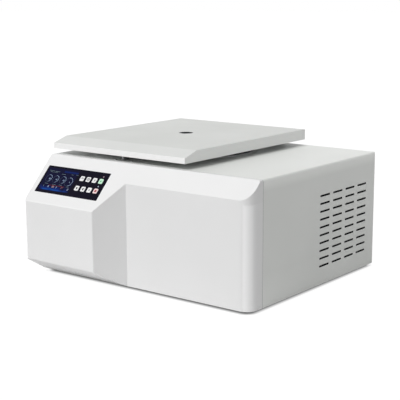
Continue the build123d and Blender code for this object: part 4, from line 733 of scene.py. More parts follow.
def add_arc(shape, place, radius, width, deep, start=0.0, sweep=FULL_TURN):
    """A flat ring or part of one, spun from its small section: the start angle is from X."""
    turned = place @ Matrix.Rotation(start, 4, "Z")
    section = turned @ Matrix.Translation((radius, 0, deep / 2)) @ Matrix.Rotation(pi / 2, 4, "X")
    made = bmesh.ops.create_grid(
        shape, x_segments=1, y_segments=1, size=0.5, matrix=section @ Matrix.Diagonal((width, deep, 1, 1)),
    )
    edges = list({edge for vert in made["verts"] for edge in vert.link_edges})
    faces = list({face for vert in made["verts"] for face in vert.link_faces})
    bmesh.ops.delete(shape, geom=faces, context="FACES_ONLY")
    bmesh.ops.spin(
        shape, geom=made["verts"] + edges, cent=place.translation, axis=place.to_3x3() @ Vector((0, 0, 1)),
        angle=sweep, steps=max(4, round(sweep / ARC_STEP)), use_merge=sweep == FULL_TURN,
    )


# Where each segment of a figure is, in half widths across and half heights up, and whether it lies flat
SEGMENT_PLACES = {
    "a": (0, 1, True), "b": (1, 0.5, False), "c": (1, -0.5, False), "d": (0, -1, True),
    "e": (-1, -0.5, False), "f": (-1, 0.5, False), "g": (0, 0, True),
}
DIGIT_SEGMENTS = {
    "0": "abcdef", "1": "bc", "2": "abged", "3": "abgcd", "4": "fgbc", "5": "afgcd", "6": "afgedc",
    "7": "abc", "8": "abcdefg", "9": "abcdfg",
}
SMOOTH_ANGLE = radians(35)  # flatter edges than this are shaded smooth


def add_number(shape, place, text, height, deep):
    """Figures made of segments, centred on their place."""
    width = height * 0.5
    line = height * 0.15
    pitch = width + height * 0.3
    for index, digit in enumerate(text):
        middle = place @ Matrix.Translation(((index - (len(text) - 1) / 2) * pitch, 0, 0))
        for name in DIGIT_SEGMENTS[digit]:
            side, level, flat = SEGMENT_PLACES[name]
            spot = middle @ Matrix.Translation((side * width / 2, level * height / 2, 0))
            long = width - line * 0.4 if flat else height / 2 - line * 0.4
            add_bar(shape, spot, long if flat else line, line if flat else long, deep)


def finish_piece(name, shape, body, finish, slot):
    """Closes a shape's ends, turns its faces outwards and sets it riding on its body."""
    bmesh.ops.holes_fill(shape, edges=[edge for edge in shape.edges if edge.is_boundary], sides=4)
    bmesh.ops.recalc_face_normals(shape, faces=shape.faces)
    mesh = bpy.data.meshes.new(name)
    shape.to_mesh(mesh)
    shape.free()
    mesh.shade_smooth()
    mesh.set_sharp_from_angle(angle=SMOOTH_ANGLE)
    mesh.materials.append(finish)
    piece = bpy.data.objects.new(name, mesh)
    bpy.context.scene.collection.objects.link(piece)
    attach(piece, body)


def window_place():
    """The display window's upper left corner: X to the right, Y up the slope, Z out of its face."""
    display = bpy.context.scene.centrifuge_display
    low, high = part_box("display_window")
    back = low.y + display.window_height * cos(display.slope_angle)
    return Matrix.Translation((low.x, back, high.z)) @ Matrix.Rotation(display.slope_angle, 4, "X")


def on_window(across, drop, layer=0):
    """A place on the window, from its upper left corner in millimetres, and how many layers up."""
    lift = bpy.context.scene.centrifuge_display.ink_lift
    return window_place() @ Matrix.Translation((across * MM, -drop * MM, layer * lift))


# Operators: finishes of the CAD nodes

# Each row of a table is the nodes, the finish's name, its effect, its two colours, its roughness and the rest
OUTSIDE_FINISHES = (
    ("base_pan", "pan_coat", "coat", (0.22, 0.225, 0.23), (0.18, 0.185, 0.19), 0.5,
     dict(grain=1200.0, dust=0.25)),
    ("lid_liner", "liner_metal", "brush", (0.88, 0.89, 0.90), (0.76, 0.77, 0.78), 0.36,
     dict(metal=1.0, grain=900.0, relief=0.03)),
    ("body_hinge_leaves lid_hinge_leaves hinge_pins", "hinge_steel", "brush", (0.60, 0.60, 0.61),
     (0.45, 0.45, 0.46), 0.33, dict(metal=1.0, grain=1500.0, relief=0.06, centre="hinge_pins")),
    ("small_screws foot_screws lid_screws", "screw_steel", "brush", (0.62, 0.62, 0.63), (0.48, 0.48, 0.49),
     0.28, dict(metal=1.0, grain=4000.0)),
    ("rubber_feet bowl_gasket vibration_dampers compressor_grommets shaft_boot", "black_rubber", "cells",
     (0.022, 0.022, 0.022), (0.035, 0.035, 0.034), 0.72, dict(grain=1800.0, relief=0.12)),
)


class CENTRIFUGE_OT_outside_finishes(bpy.types.Operator):
    """Put the finishes on the casing, the front, the lid and what holds them"""

    bl_idname = "centrifuge.outside_finishes"
    bl_label = "Outside finishes"

    def execute(self, context):
        coats = context.scene.centrifuge_coats
        rear = tuple(coats.rear)
        finish_nodes(casing_coat_painted_light_and_shade(coats), "casing_cover")
        finish_nodes(bezel_plastic_painted_light(coats), "front_bezel")
        finish_nodes(lid_coat_painted_light(coats), "lid_shell")
        rear_coat = surface_finish("rear_coat", "coat", rear, scaled(rear, 0.97), 0.45, relief=0.08)
        finish_nodes(rear_coat, "rear_panel")
        give_finishes(OUTSIDE_FINISHES)
        return {"FINISHED"}


DISPLAY_FINISHES = (
    ("display_board motor_drive_board", "board_lacquer", "board", (0.010, 0.075, 0.030), (0.035, 0.16, 0.06),
     0.32, dict(grain=220.0, patches=60.0, relief=0.1, coat=0.3)),
    ("key_switches", "switch_plastic", "coat", (0.03, 0.03, 0.032), (0.045, 0.045, 0.047), 0.5,
     dict(grain=2500.0)),
)
WINDOW_PATCHES = (0.0065, 0.005, 0.014, 1)
LAMP_RED = (0.62, 0.44, 0.52, 1)
LAMP_RED_PATCHES = (0.55, 0.38, 0.46, 1)
LAMP_BLUE = (0.62, 0.74, 0.88, 1)
MODULE_GLOW_COLOUR = (0.01, 0.04, 0.25, 1)
MODULE_GLOW = 0.1


class CENTRIFUGE_OT_display_finishes(bpy.types.Operator):
    """Put the finishes on the display window, the keys and the boards behind them"""

    bl_idname = "centrifuge.display_finishes"
    bl_label = "Display finishes"

    def execute(self, context):
        display = context.scene.centrifuge_display
        keys = context.scene.centrifuge_keys
        window = surface_finish(
            "window_print", "coat", tuple(display.window), WINDOW_PATCHES, 0.16, spread=0.05, grain=300.0,
            patches=40.0, relief=0.01, specular=SCREEN_SPECULAR,
        )
        finish_nodes(window, "display_window")
        caps = {"key_start": tuple(keys.start), "key_stop": tuple(keys.stop)}
        for name in (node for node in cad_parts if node.startswith("key_") and node != "key_switches"):
            colour = caps.get(name, tuple(keys.cap))
            plastic = surface_finish(
                name + "_plastic", "coat", colour, scaled(colour, 0.97), 0.35, grain=3000.0, patches=200.0,
                relief=0.03,
            )
            finish_nodes(plastic, name)
        lens = surface_finish(
            "lamp_lens", "coat", LAMP_RED, LAMP_RED_PATCHES, 0.2, grain=2000.0, patches=90.0, relief=0.02,
        )
        low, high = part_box("indicator_lamps")
        lower = (high.x, high.y, (low.z + high.z) / 2)
        finish_nodes(paint_boxes(lens, [(low, lower, LAMP_BLUE, 0.1 * MM)]), "indicator_lamps")
        module = lit_finish("screen_module", tuple(display.ground), MODULE_GLOW_COLOUR, MODULE_GLOW)
        finish_nodes(module, "lcd_module")
        give_finishes(DISPLAY_FINISHES)
        return {"FINISHED"}


CHAMBER_FINISHES = (
    ("chamber_bowl", "bowl_steel", "turning", (0.66, 0.67, 0.68), (0.50, 0.51, 0.52), 0.26,
     dict(spread=0.14, metal=1.0, grain=700.0, patches=8.0, relief=0.06, centre="drive_shaft")),
    ("rotor", "rotor_anodised", "turning", (0.10, 0.105, 0.115), (0.065, 0.068, 0.075), 0.34,
     dict(spread=0.1, metal=1.0, grain=1400.0, patches=14.0, centre="drive_shaft")),
    ("rotor_nut", "nut_aluminium", "turning", (0.70, 0.71, 0.72), (0.55, 0.56, 0.57), 0.25,
     dict(metal=1.0, grain=1600.0, centre="drive_shaft")),
    ("drive_shaft motor_bearings", "ground_steel", "turning", (0.64, 0.64, 0.65), (0.52, 0.52, 0.53), 0.16,
     dict(metal=1.0, grain=2600.0, relief=0.03, centre="drive_shaft")),
    ("lid_striker lock_bolt", "striker_steel", "brush", (0.42, 0.42, 0.43), (0.34, 0.34, 0.35), 0.42,
     dict(metal=1.0, grain=1800.0, centre="lid_striker", turn=(0, pi / 2, 0))),
    ("lock_housing port_tube", "dark_plastic", "coat", (0.018, 0.018, 0.019), (0.026, 0.026, 0.027), 0.5,
     dict(grain=2600.0, relief=0.06)),
    ("insulation_foam lid_foam", "insulating_foam", "cells", (0.80, 0.70, 0.42), (0.70, 0.58, 0.32), 0.85,
     dict(grain=900.0, patches=12.0, relief=0.4)),
)


class CENTRIFUGE_OT_chamber_finishes(bpy.types.Operator):
    """Put the finishes on the chamber, the rotor, the lid's lock and the viewing port"""

    bl_idname = "centrifuge.chamber_finishes"
    bl_label = "Chamber finishes"

    def execute(self, context):
        give_finishes(CHAMBER_FINISHES)
        finish_nodes(clear_glass(), "port_window")
        return {"FINISHED"}


MACHINERY_FINISHES = (
    ("motor_housing", "cast_aluminium", "cells", (0.48, 0.49, 0.50), (0.40, 0.41, 0.42), 0.5,
     dict(metal=1.0, grain=1400.0, relief=0.15, dust=0.2)),
    ("motor_stator", "motor_winding", "winding", (0.42, 0.17, 0.07), (0.26, 0.09, 0.035), 0.35,
     dict(grain=120.0, patches=30.0, relief=0.5, centre="drive_shaft")),
    ("motor_armature lock_solenoid", "core_sheets", "winding", (0.20, 0.20, 0.21), (0.12, 0.12, 0.13), 0.4,
     dict(metal=0.8, grain=300.0, patches=30.0, relief=0.3, centre="drive_shaft")),
    ("motor_plate", "grey_plate", "coat", (0.11, 0.115, 0.12), (0.085, 0.09, 0.095), 0.5,
     dict(grain=1200.0, dust=0.3)),
    ("compressor", "compressor_enamel", "coat", (0.010, 0.010, 0.011), (0.016, 0.016, 0.017), 0.3,
     dict(grain=500.0, relief=0.08, coat=0.3, dust=0.25)),
    ("evaporator_coil refrigerant_pipes filter_drier", "copper_tube", "brush", (0.72, 0.34, 0.20),
     (0.45, 0.20, 0.12), 0.3, dict(spread=0.2, metal=1.0, grain=1200.0, patches=25.0, relief=0.03)),
    ("condenser", "condenser_fins", "brush", (0.020, 0.021, 0.022), (0.008, 0.008, 0.009), 0.5,
     dict(metal=0.3, grain=500.0, relief=0.4, centre="condenser", turn=(0, pi / 2, 0))),
    ("fan_shroud fan_impeller", "fan_plastic", "coat", (0.016, 0.016, 0.017), (0.024, 0.024, 0.025), 0.45,
     dict(grain=1800.0, dust=0.15)),
    ("power_inlet mains_switch_body fuse_holder", "service_plastic", "coat", (0.012, 0.012, 0.012),
     (0.020, 0.020, 0.020), 0.45, dict(grain=2600.0, relief=0.06)),
    ("mains_rocker", "rocker_plastic", "coat", (0.03, 0.33, 0.08), (0.025, 0.27, 0.065), 0.22,
     dict(grain=2000.0, patches=60.0, relief=0.02, coat=0.3)),
    ("drain_hose", "milky_hose", "coat", (0.55, 0.54, 0.50), (0.47, 0.46, 0.42), 0.35,
     dict(grain=900.0, patches=30.0)),
)


class CENTRIFUGE_OT_machinery_finishes(bpy.types.Operator):
    """Put the finishes on the motor, the cooling unit and the services at the rear"""

    bl_idname = "centrifuge.machinery_finishes"
    bl_label = "Machinery finishes"

    def execute(self, context):
        give_finishes(MACHINERY_FINISHES)
        return {"FINISHED"}


# Operators: pieces of the display, in millimetres from the window's upper left corner

# Each lit band: its middle across and down, its length and its height
SCREEN_BANDS = ((83, 12.5, 46, 4.8), (62, 66, 84, 2.6), (46, 65, 14, 4.4))


class CENTRIFUGE_OT_screen(bpy.types.Operator):
    """Lay the lit screen on the window, with its title bar and its lower band"""

    bl_idname = "centrifuge.screen"
    bl_label = "Screen"

    def execute(self, context):
        display = context.scene.centrifuge_display
        lift = display.ink_lift
        width = display.screen_width
        height = display.screen_height
        middle = [(display.screen_inset + side / 2) / MM for side in (width, height)]
        ground = lit_finish(
            "screen_ground", tuple(display.ground), (0.004, 0.018, 0.13, 1), glow_start=0.86, glow_end=1.04,
        )
        shape = bmesh.new()
        add_bar(shape, on_window(*middle), width, height, lift)
        finish_piece("screen_ground", shape, "body", ground, "lcd_module")

        blue = lit_finish("screen_blue", (0.003, 0.010, 0.07, 1), (0.005, 0.045, 0.20, 1))
        shape = bmesh.new()
        for across, drop, length, thickness in SCREEN_BANDS:
            add_bar(shape, on_window(across, drop, 1), length * MM, thickness * MM, lift)
        finish_piece("screen_bands", shape, "body", blue, "lcd_module")
        return {"FINISHED"}


# Each dial's middle across and down, its size against the dial radius, and its figures
DIALS = ((21.5, 35.5, 1.0, "38"), (44.5, 35.5, 1.0, "45"), (68.5, 35.5, 1.0, "20"), (90.0, 38.5, 1.22, "4"))
DIAL_TICKS = 10
DIAL_TICK_START = radians(210)
DIAL_TICK_STEP = radians(27)
DIAL_TICK_CIRCLE = 0.82  # of the dial's radius
DIAL_TICK_LENGTH = 0.14  # of the dial's radius
DIAL_TICK_WIDTH = 0.3 * MM
DIAL_ARC_START = radians(-78)
DIAL_ARC_SWEEP = radians(182)
DIAL_FIGURES_PLACE = (3.6 * MM, -1.2 * MM, 0)
DIAL_FIGURES_HEIGHT = 3.6 * MM


class CENTRIFUGE_OT_dials(bpy.types.Operator):
    """Draw the four round dials of the screen, each with its scale, pointer arc and figures"""

    bl_idname = "centrifuge.dials"
    bl_label = "Dials"

    def execute(self, context):
        display = context.scene.centrifuge_display
        lift = display.ink_lift
        signs = tuple(display.signs)
        faint = lit_finish("screen_faint", scaled(signs, 0.22), scaled(signs, 0.3))
        bright = lit_finish("screen_signs", signs)
        scales, figures = bmesh.new(), bmesh.new()
        for across, drop, share, number in DIALS:
            size = display.dial_radius * share
            place = on_window(across, drop, 1)
            add_arc(scales, place, size, display.line_width / 2, lift)
            for tick in range(DIAL_TICKS):
                turn = Matrix.Rotation(DIAL_TICK_START - tick * DIAL_TICK_STEP, 4, "Z")
                spot = place @ turn @ Matrix.Translation((size * DIAL_TICK_CIRCLE, 0, 0))
                add_bar(scales, spot, size * DIAL_TICK_LENGTH, DIAL_TICK_WIDTH, lift)
            place = on_window(across, drop, 2)
            add_arc(figures, place, size, display.line_width, lift, DIAL_ARC_START, DIAL_ARC_SWEEP)
            spot = place @ Matrix.Translation(DIAL_FIGURES_PLACE)
            add_number(figures, spot, number, DIAL_FIGURES_HEIGHT, lift)
        finish_piece("dial_scales", scales, "body", faint, "lcd_module")
        finish_piece("dial_figures", figures, "body", bright, "lcd_module")
        return {"FINISHED"}


# Each reading's name, its middle across and down, its figures and its colour
READINGS = (
    ("green", 18.5, 57.8, "4", (0.11, 0.17, 0.19, 1)),
    ("white", 33.3, 58.3, "15", (0.36, 0.44, 0.60, 1)),
    ("rose", 50.0, 57.8, "09", (0.46, 0.30, 0.32, 1)),
    ("cool", 61.3, 58.0, "0", (0.22, 0.32, 0.48, 1)),
    ("brown", 79.2, 57.4, "07", (0.22, 0.10, 0.09, 1)),
    ("pale", 98.8, 59.2, "12", (0.38, 0.44, 0.58, 1)),
)
READING_HEIGHT = 4.2 * MM
READING_LINE = (59, 54.0, 52, 0.9)  # middle across, down, length, height
LABEL_DASHES = (  # middle across, length, down, height of each row of dashes
    (20, 17, 13.8, 1.0), (38, 15, 14.6, 1.0), (27, 24, 17.2, 0.8),
    (62, 13, 20.0, 0.9), (90, 6, 18.2, 0.9), (105, 7, 17.0, 0.9),
    (24, 11, 50.7, 0.9), (49, 11, 50.9, 0.9), (70, 10, 50.4, 0.9), (95, 9, 53.0, 0.8),
)
DASH_PITCH = 2.4
DASH_SHARE = 0.72  # how much of its pitch a dash fills


class CENTRIFUGE_OT_readings(bpy.types.Operator):
    """Draw the row of small coloured readings, the red line over them and the short label dashes"""

    bl_idname = "centrifuge.readings"
    bl_label = "Readings"

    def execute(self, context):
        lift = context.scene.centrifuge_display.ink_lift
        for name, across, drop, figures, colour in READINGS:
            shape = bmesh.new()
            add_number(shape, on_window(across, drop, 2), figures, READING_HEIGHT, lift)
            finish_piece("reading_" + name, shape, "body", lit_finish("screen_" + name, colour), "lcd_module")
        shape = bmesh.new()
        across, drop, length, height = READING_LINE
        add_bar(shape, on_window(across, drop, 1), length * MM, height * MM, lift)
        red = lit_finish("screen_red_line", (0.13, 0.022, 0.025, 1), (0.15, 0.025, 0.03, 1))
        finish_piece("reading_line", shape, "body", red, "lcd_module")

        shape = bmesh.new()
        for across, length, drop, height in LABEL_DASHES:
            count = max(2, round(length / DASH_PITCH))
            for index in range(count):
                spot = across + (index - (count - 1) / 2) * length / count
                add_bar(shape, on_window(spot, drop, 2), length / count * DASH_SHARE * MM, height * MM, lift)
        dashes = lit_finish("screen_dashes", (0.13, 0.18, 0.19, 1), (0.14, 0.19, 0.22, 1))
        finish_piece("label_dashes", shape, "body", dashes, "lcd_module")
        return {"FINISHED"}


# Key symbols: each is drawn on its key's cap, with the sizes as shares of the symbol's size


def add_speed_symbol(shape, place, size, line, deep):
    """A round gauge with its needle."""
    add_arc(shape, place, size / 2, line, deep, radians(-30), radians(240))
    needle = place @ Matrix.Rotation(radians(50), 4, "Z") @ Matrix.Translation((size * 0.16, 0, 0))
    add_bar(shape, needle, size * 0.4, line, deep)


def add_time_symbol(shape, place, size, line, deep):
    """A clock face with two hands."""
    add_arc(shape, place, size / 2, line, deep)
    add_bar(shape, place @ Matrix.Translation((0, size * 0.12, 0)), line, size * 0.3, deep)
    add_bar(shape, place @ Matrix.Translation((size * 0.1, 0, 0)), size * 0.26, line, deep)


def add_temperature_symbol(shape, place, size, line, deep):
    """A thermometer: a bulb, a stem and two marks."""
    add_disc(shape, place @ Matrix.Translation((0, -size * 0.32, 0)), size * 0.22, deep)
    add_bar(shape, place @ Matrix.Translation((0, size * 0.12, 0)), line * 1.3, size * 0.75, deep)
    for level in (0.05, 0.3):
        spot = place @ Matrix.Translation((size * 0.3, size * level, 0))
        add_bar(shape, spot, size * 0.26, line * 0.8, deep)


def add_pointer_symbol(shape, place, size, line, deep):
    """A solid triangle that points along X."""
    add_disc(shape, place, size * 0.56, deep, sides=3)


def add_stop_symbol(shape, place, size, line, deep):
    """A solid square."""
    add_bar(shape, place, size * 0.85, size * 0.85, deep)


SYMBOL_DEPTH = 0.1 * MM
SYMBOL_GREY = (0.20, 0.20, 0.21, 1)
# Each key's symbol, its turn, its size against the others, and its ink where it has one of its own
KEY_SYMBOLS = {
    "speed": (add_speed_symbol, 0, 1.0, (0.12, 0.12, 0.13, 1)),
    "time": (add_time_symbol, 0, 1.15, None),
    "temperature": (add_temperature_symbol, 0, 1.0, SYMBOL_GREY),
    "start": (add_pointer_symbol, 0, 1.0, (0.05, 0.42, 0.15, 1)),
    "left": (add_pointer_symbol, pi, 1.3, None),
    "up": (add_pointer_symbol, pi / 2, 1.3, None),
    "right": (add_pointer_symbol, 0, 1.0, SYMBOL_GREY),
    "stop": (add_stop_symbol, 0, 1.1, (0.36, 0.01, 0.02, 1)),
}


class CENTRIFUGE_OT_key_symbols(bpy.types.Operator):
    """Print each key's symbol on its cap, riding on the key"""

    bl_idname = "centrifuge.key_symbols"
    bl_label = "Key symbols"

    def execute(self, context):
        keys = context.scene.centrifuge_keys
        window = window_place()
        for name, (add_symbol, turn, share, own_ink) in KEY_SYMBOLS.items():
            node = "key_" + name
            middle = window.inverted() @ axis_centre(node)
            top = max((window.inverted() @ vertex.co).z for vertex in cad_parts[node].data.vertices)
            place = window @ Matrix.Translation((middle.x, middle.y, top)) @ Matrix.Rotation(turn, 4, "Z")
            colour = own_ink or tuple(keys.ink)
            ink = surface_finish(
                node + "_ink", "coat", colour, scaled(colour, 0.8), 0.4, grain=4000.0, patches=300.0,
                relief=0.02,
            )
            shape = bmesh.new()
            add_symbol(shape, place, keys.symbol_size * share, keys.symbol_line, SYMBOL_DEPTH)
            finish_piece(node + "_symbol", shape, node, ink, node)
        return {"FINISHED"}


# Operators: marks and small fittings

NUMBER_CIRCLE = 81 * MM
NUMBER_DEPTH = 0.12 * MM
ROCKER_MARK_SPREAD = 6.2 * MM
ROCKER_MARK_SINK = 0.75 * MM
ROCKER_MARK_DEPTH = 0.5 * MM
ROCKER_SLANT = radians(15)
ON_STROKE = (0.9 * MM, 4.2 * MM)
OFF_RING_RADIUS = 1.9 * MM
OFF_RING_LINE = 0.8 * MM
PIN_THICKNESS = 2 * MM
PIN_LENGTH = 15 * MM
PIN_HEIGHT = 4 * MM
PIN_PITCH = 7 * MM
PIN_RISE = 2 * MM
PIN_EDGE = 0.4 * MM
SOCKET_DEPTH = 18 * MM
CROSS_LENGTH = 3.4 * MM
CROSS_DEPTH = 0.04 * MM


class CENTRIFUGE_OT_pocket_numbers(bpy.types.Operator):
    """Mark the rotor's flat rim with the number of each tube pocket"""

    bl_idname = "centrifuge.pocket_numbers"
    bl_label = "Pocket numbers"

    def execute(self, context):
        fittings = context.scene.centrifuge_fittings
        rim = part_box("rotor")[1].z
        axis = axis_centre("drive_shaft")
        ink = surface_finish(
            "engraved_white", "coat", (0.72, 0.72, 0.70, 1), (0.60, 0.60, 0.58, 1), 0.6, grain=3000.0,
            patches=200.0,
        )
        shape = bmesh.new()
        for index in range(fittings.pocket_count):
            turn = Matrix.Rotation(2 * pi * index / fittings.pocket_count, 4, "Z")
            turned = Matrix.Translation((axis.x, axis.y, rim)) @ turn
            place = turned @ Matrix.Translation((NUMBER_CIRCLE, 0, 0)) @ Matrix.Rotation(-pi / 2, 4, "Z")
            add_number(shape, place, str(index + 1), fittings.number_height, NUMBER_DEPTH)
        finish_piece("pocket_numbers", shape, "spindle", ink, "rotor")
        return {"FINISHED"}


class CENTRIFUGE_OT_rocker_marks(bpy.types.Operator):
    """Mark the mains rocker with its on stroke and its off ring"""

    bl_idname = "centrifuge.rocker_marks"
    bl_label = "Rocker marks"

    def execute(self, context):
        low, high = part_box("mains_rocker")
        middle = (low + high) / 2
        white = surface_finish(
            "mark_white", "coat", (0.82, 0.82, 0.80, 1), (0.74, 0.74, 0.72, 1), 0.4, grain=3000.0,
            patches=200.0,
        )
        face = high.y - ROCKER_MARK_SINK
        shape = bmesh.new()
        for side in (-1, 1):
            level = Matrix.Translation((middle.x, face, middle.z + side * ROCKER_MARK_SPREAD))
            lean = Matrix.Rotation(pi / 2 + side * ROCKER_SLANT, 4, "X")
            place = level @ Matrix.Rotation(pi, 4, "Z") @ lean
            if side > 0:
                add_bar(shape, place, *ON_STROKE, ROCKER_MARK_DEPTH)
            else:
                add_arc(shape, place, OFF_RING_RADIUS, OFF_RING_LINE, ROCKER_MARK_DEPTH)
        finish_piece("rocker_marks", shape, "rocker", white, "mains_rocker")
        return {"FINISHED"}


class CENTRIFUGE_OT_inlet_pins(bpy.types.Operator):
    """Plate the three pins of the mains inlet with bright metal"""

    bl_idname = "centrifuge.inlet_pins"
    bl_label = "Inlet pins"

    def execute(self, context):
        plating = context.scene.centrifuge_fittings.pin_plating
        low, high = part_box("power_inlet")
        middle = (low + high) / 2
        nickel = surface_finish(
            "nickel_plate", "brush", (0.72, 0.70, 0.64, 1), (0.60, 0.58, 0.52, 1), 0.2, metal=1.0,
            grain=3000.0, relief=0.02,
        )
        length = PIN_LENGTH + plating
        size = Matrix.Diagonal((PIN_THICKNESS + 2 * plating, length, PIN_HEIGHT + 2 * plating, 1))
        shape = bmesh.new()
        for side, rise in ((-1, -PIN_RISE), (0, PIN_RISE), (1, -PIN_RISE)):
            spot = (middle.x + side * PIN_PITCH, high.y - SOCKET_DEPTH + length / 2, middle.z + rise)
            bmesh.ops.create_cube(shape, size=1.0, matrix=Matrix.Translation(spot) @ size)
        bmesh.ops.bevel(
            shape, geom=list(shape.edges), offset=PIN_EDGE, segments=2, profile=0.5, affect="EDGES",
            material=-1,
        )
        finish_piece("inlet_pins", shape, "body", nickel, "power_inlet")
        return {"FINISHED"}


WELD_REACH = 0.001 * MM
END_SKIN = 0.1 * MM
STUBBY = 0.9  # a part this broad against its length has no shank


def find_islands(shape):
    """The corners of each closed part of a shape, as lists of vertices."""
    left = set(shape.verts)
    while left:
        island = [left.pop()]
        for vert in island:
            for other in (edge.other_vert(vert) for edge in vert.link_edges):
                if other in left:
                    left.remove(other)
                    island.append(other)
        yield island


def end_reach(points, middle, level, axis):
    """How far from the middle the points at one end of an axis reach: furthest at a screw's head."""
    return max((point - middle).length for point in points if abs(point[axis] - level) < END_SKIN)


def screw_heads(node):
    """Where each screw of a CAD node has its head: a place on the head's face, with Z out of it."""
    shape = bmesh.new()
    shape.from_mesh(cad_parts[node].data)
    bmesh.ops.remove_doubles(shape, verts=shape.verts, dist=WELD_REACH)
    places = []
    for island in find_islands(shape):
        points = [vert.co for vert in island]
        low, high = Vector(map(min, *points)), Vector(map(max, *points))
        size = high - low
        axis = max(range(3), key=lambda index: size[index])
        if sorted(size)[1] > size[axis] * STUBBY:
            continue
        middle = (low + high) / 2
        end = max((high, low), key=lambda corner: end_reach(points, middle, corner[axis], axis))
        out = Vector((0, 0, 0))
        out[axis] = -1 if end is low else 1
        spot = middle.copy()
        spot[axis] = end[axis]
        places.append(Matrix.Translation(spot) @ out.to_track_quat("Z", "Y").to_matrix().to_4x4())
    shape.free()
    return places


class CENTRIFUGE_OT_screw_crosses(bpy.types.Operator):
    """Mark the cross recess in the head of each screw"""

    bl_idname = "centrifuge.screw_crosses"
    bl_label = "Screw crosses"

    def execute(self, context):
        width = context.scene.centrifuge_fittings.cross_width
        recess = surface_finish(
            "cross_recess", "coat", (0.03, 0.03, 0.03, 1), (0.05, 0.05, 0.05, 1), 0.6, grain=4000.0,
            patches=400.0,
        )
        for node, body in (("small_screws", "body"), ("lid_screws", "lid")):
            shape = bmesh.new()
            for place in screw_heads(node):
                add_bar(shape, place, CROSS_LENGTH, width, CROSS_DEPTH)
                add_bar(shape, place, width, CROSS_LENGTH, CROSS_DEPTH)
            finish_piece(node.replace("screws", "screw_crosses"), shape, body, recess, node)
        return {"FINISHED"}


# Stage

FLOOR_HALF_SIDE = 30.0
FLOOR_WHITE = 0.72  # how much of the light on it the floor sends back to the machine
FLOOR_FILM = 0.06  # the same, for the floor as the camera sees it, under its own even white
GAP_REACH = 8 * MM  # how near a surface has to be to darken the floor below it
OPEN_FROM = 0.9  # how open the sky has to be for a white floor
# Painted contact shadow: the floor is painted dark below the body's foot, fading to white just outside it
PAINTED_SHADOW_DARK = 0.16  # how light the floor stays below the body
CONTACT_INSIDE = -14 * MM  # where it starts to grow light, measured outwards from the edge of the foot
CONTACT_OUTSIDE = 5.5 * MM  # where it is white


def add_seen(tree):
    """One where the camera looks, straight or by way of gloss or glass, and zero for the light that falls."""
    path = tree.nodes.new("ShaderNodeLightPath")
    seen = add_math(tree, "MAXIMUM", path.outputs["Is Camera Ray"], path.outputs["Is Glossy Ray"])
    return add_math(tree, "MAXIMUM", seen, path.outputs["Is Transmission Ray"])


def painted_contact_shadow(tree, stage):
    """A painted contact shadow: how light the floor is painted near the body's foot, dark below it, white
    from just outside its edge.
    """
    low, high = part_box("casing_cover")
    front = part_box("front_bezel")[0].y + stage.foot_setback
    corner = stage.foot_corner
    middle = ((low.x + high.x) / 2, (front + high.y) / 2, 0)
    half = ((high.x - low.x) / 2 - corner, (high.y - front) / 2 - corner, 1)
    place = tree.nodes.new("ShaderNodeTexCoord").outputs["Object"]
    place = add_vector_math(tree, "ABSOLUTE", add_vector_math(tree, "SUBTRACT", place, middle))
    past = add_vector_math(tree, "MAXIMUM", add_vector_math(tree, "SUBTRACT", place, half))
    away = add_math(tree, "SUBTRACT", add_vector_math(tree, "LENGTH", past, output="Value"), corner)
    light = add_range(tree, away, CONTACT_INSIDE, CONTACT_OUTSIDE, PAINTED_SHADOW_DARK)
    light.node.interpolation_type = "SMOOTHSTEP"
    return light


def add_diffuse(tree, brightness):
    """A plain grey or white diffuse shader's output."""
    return add_node(tree, "BsdfDiffuse", {"Color": (brightness, brightness, brightness, 1)}).outputs[0]


def white_floor(stage):
    """A pale floor that looks white to the camera. The object's shadow on it is partly real, from its thin
    film and how open the sky is above it, and partly a painted contact shadow close round the body's foot.
    """
    finish = bpy.data.materials.new("pale_floor")
    finish.use_nodes = True
    tree = finish.node_tree
    tree.nodes.clear()
    near = add_node(tree, "AmbientOcclusion", {"Distance": GAP_REACH}, samples=8)
    open_sky = add_range(tree, near.outputs["AO"], 0.0, OPEN_FROM)
    light = add_math(tree, "MINIMUM", open_sky, painted_contact_shadow(tree, stage))
    shine = add_node(tree, "Emission", {"Strength": light})
    both = add_node(tree, "AddShader", {0: add_diffuse(tree, FLOOR_FILM), 1: shine.outputs[0]})
    values = {"Fac": add_seen(tree), 1: add_diffuse(tree, FLOOR_WHITE), 2: both.outputs[0]}
    mix = add_node(tree, "MixShader", values)
    add_node(tree, "OutputMaterial", {"Surface": mix.outputs[0]})
    return finish


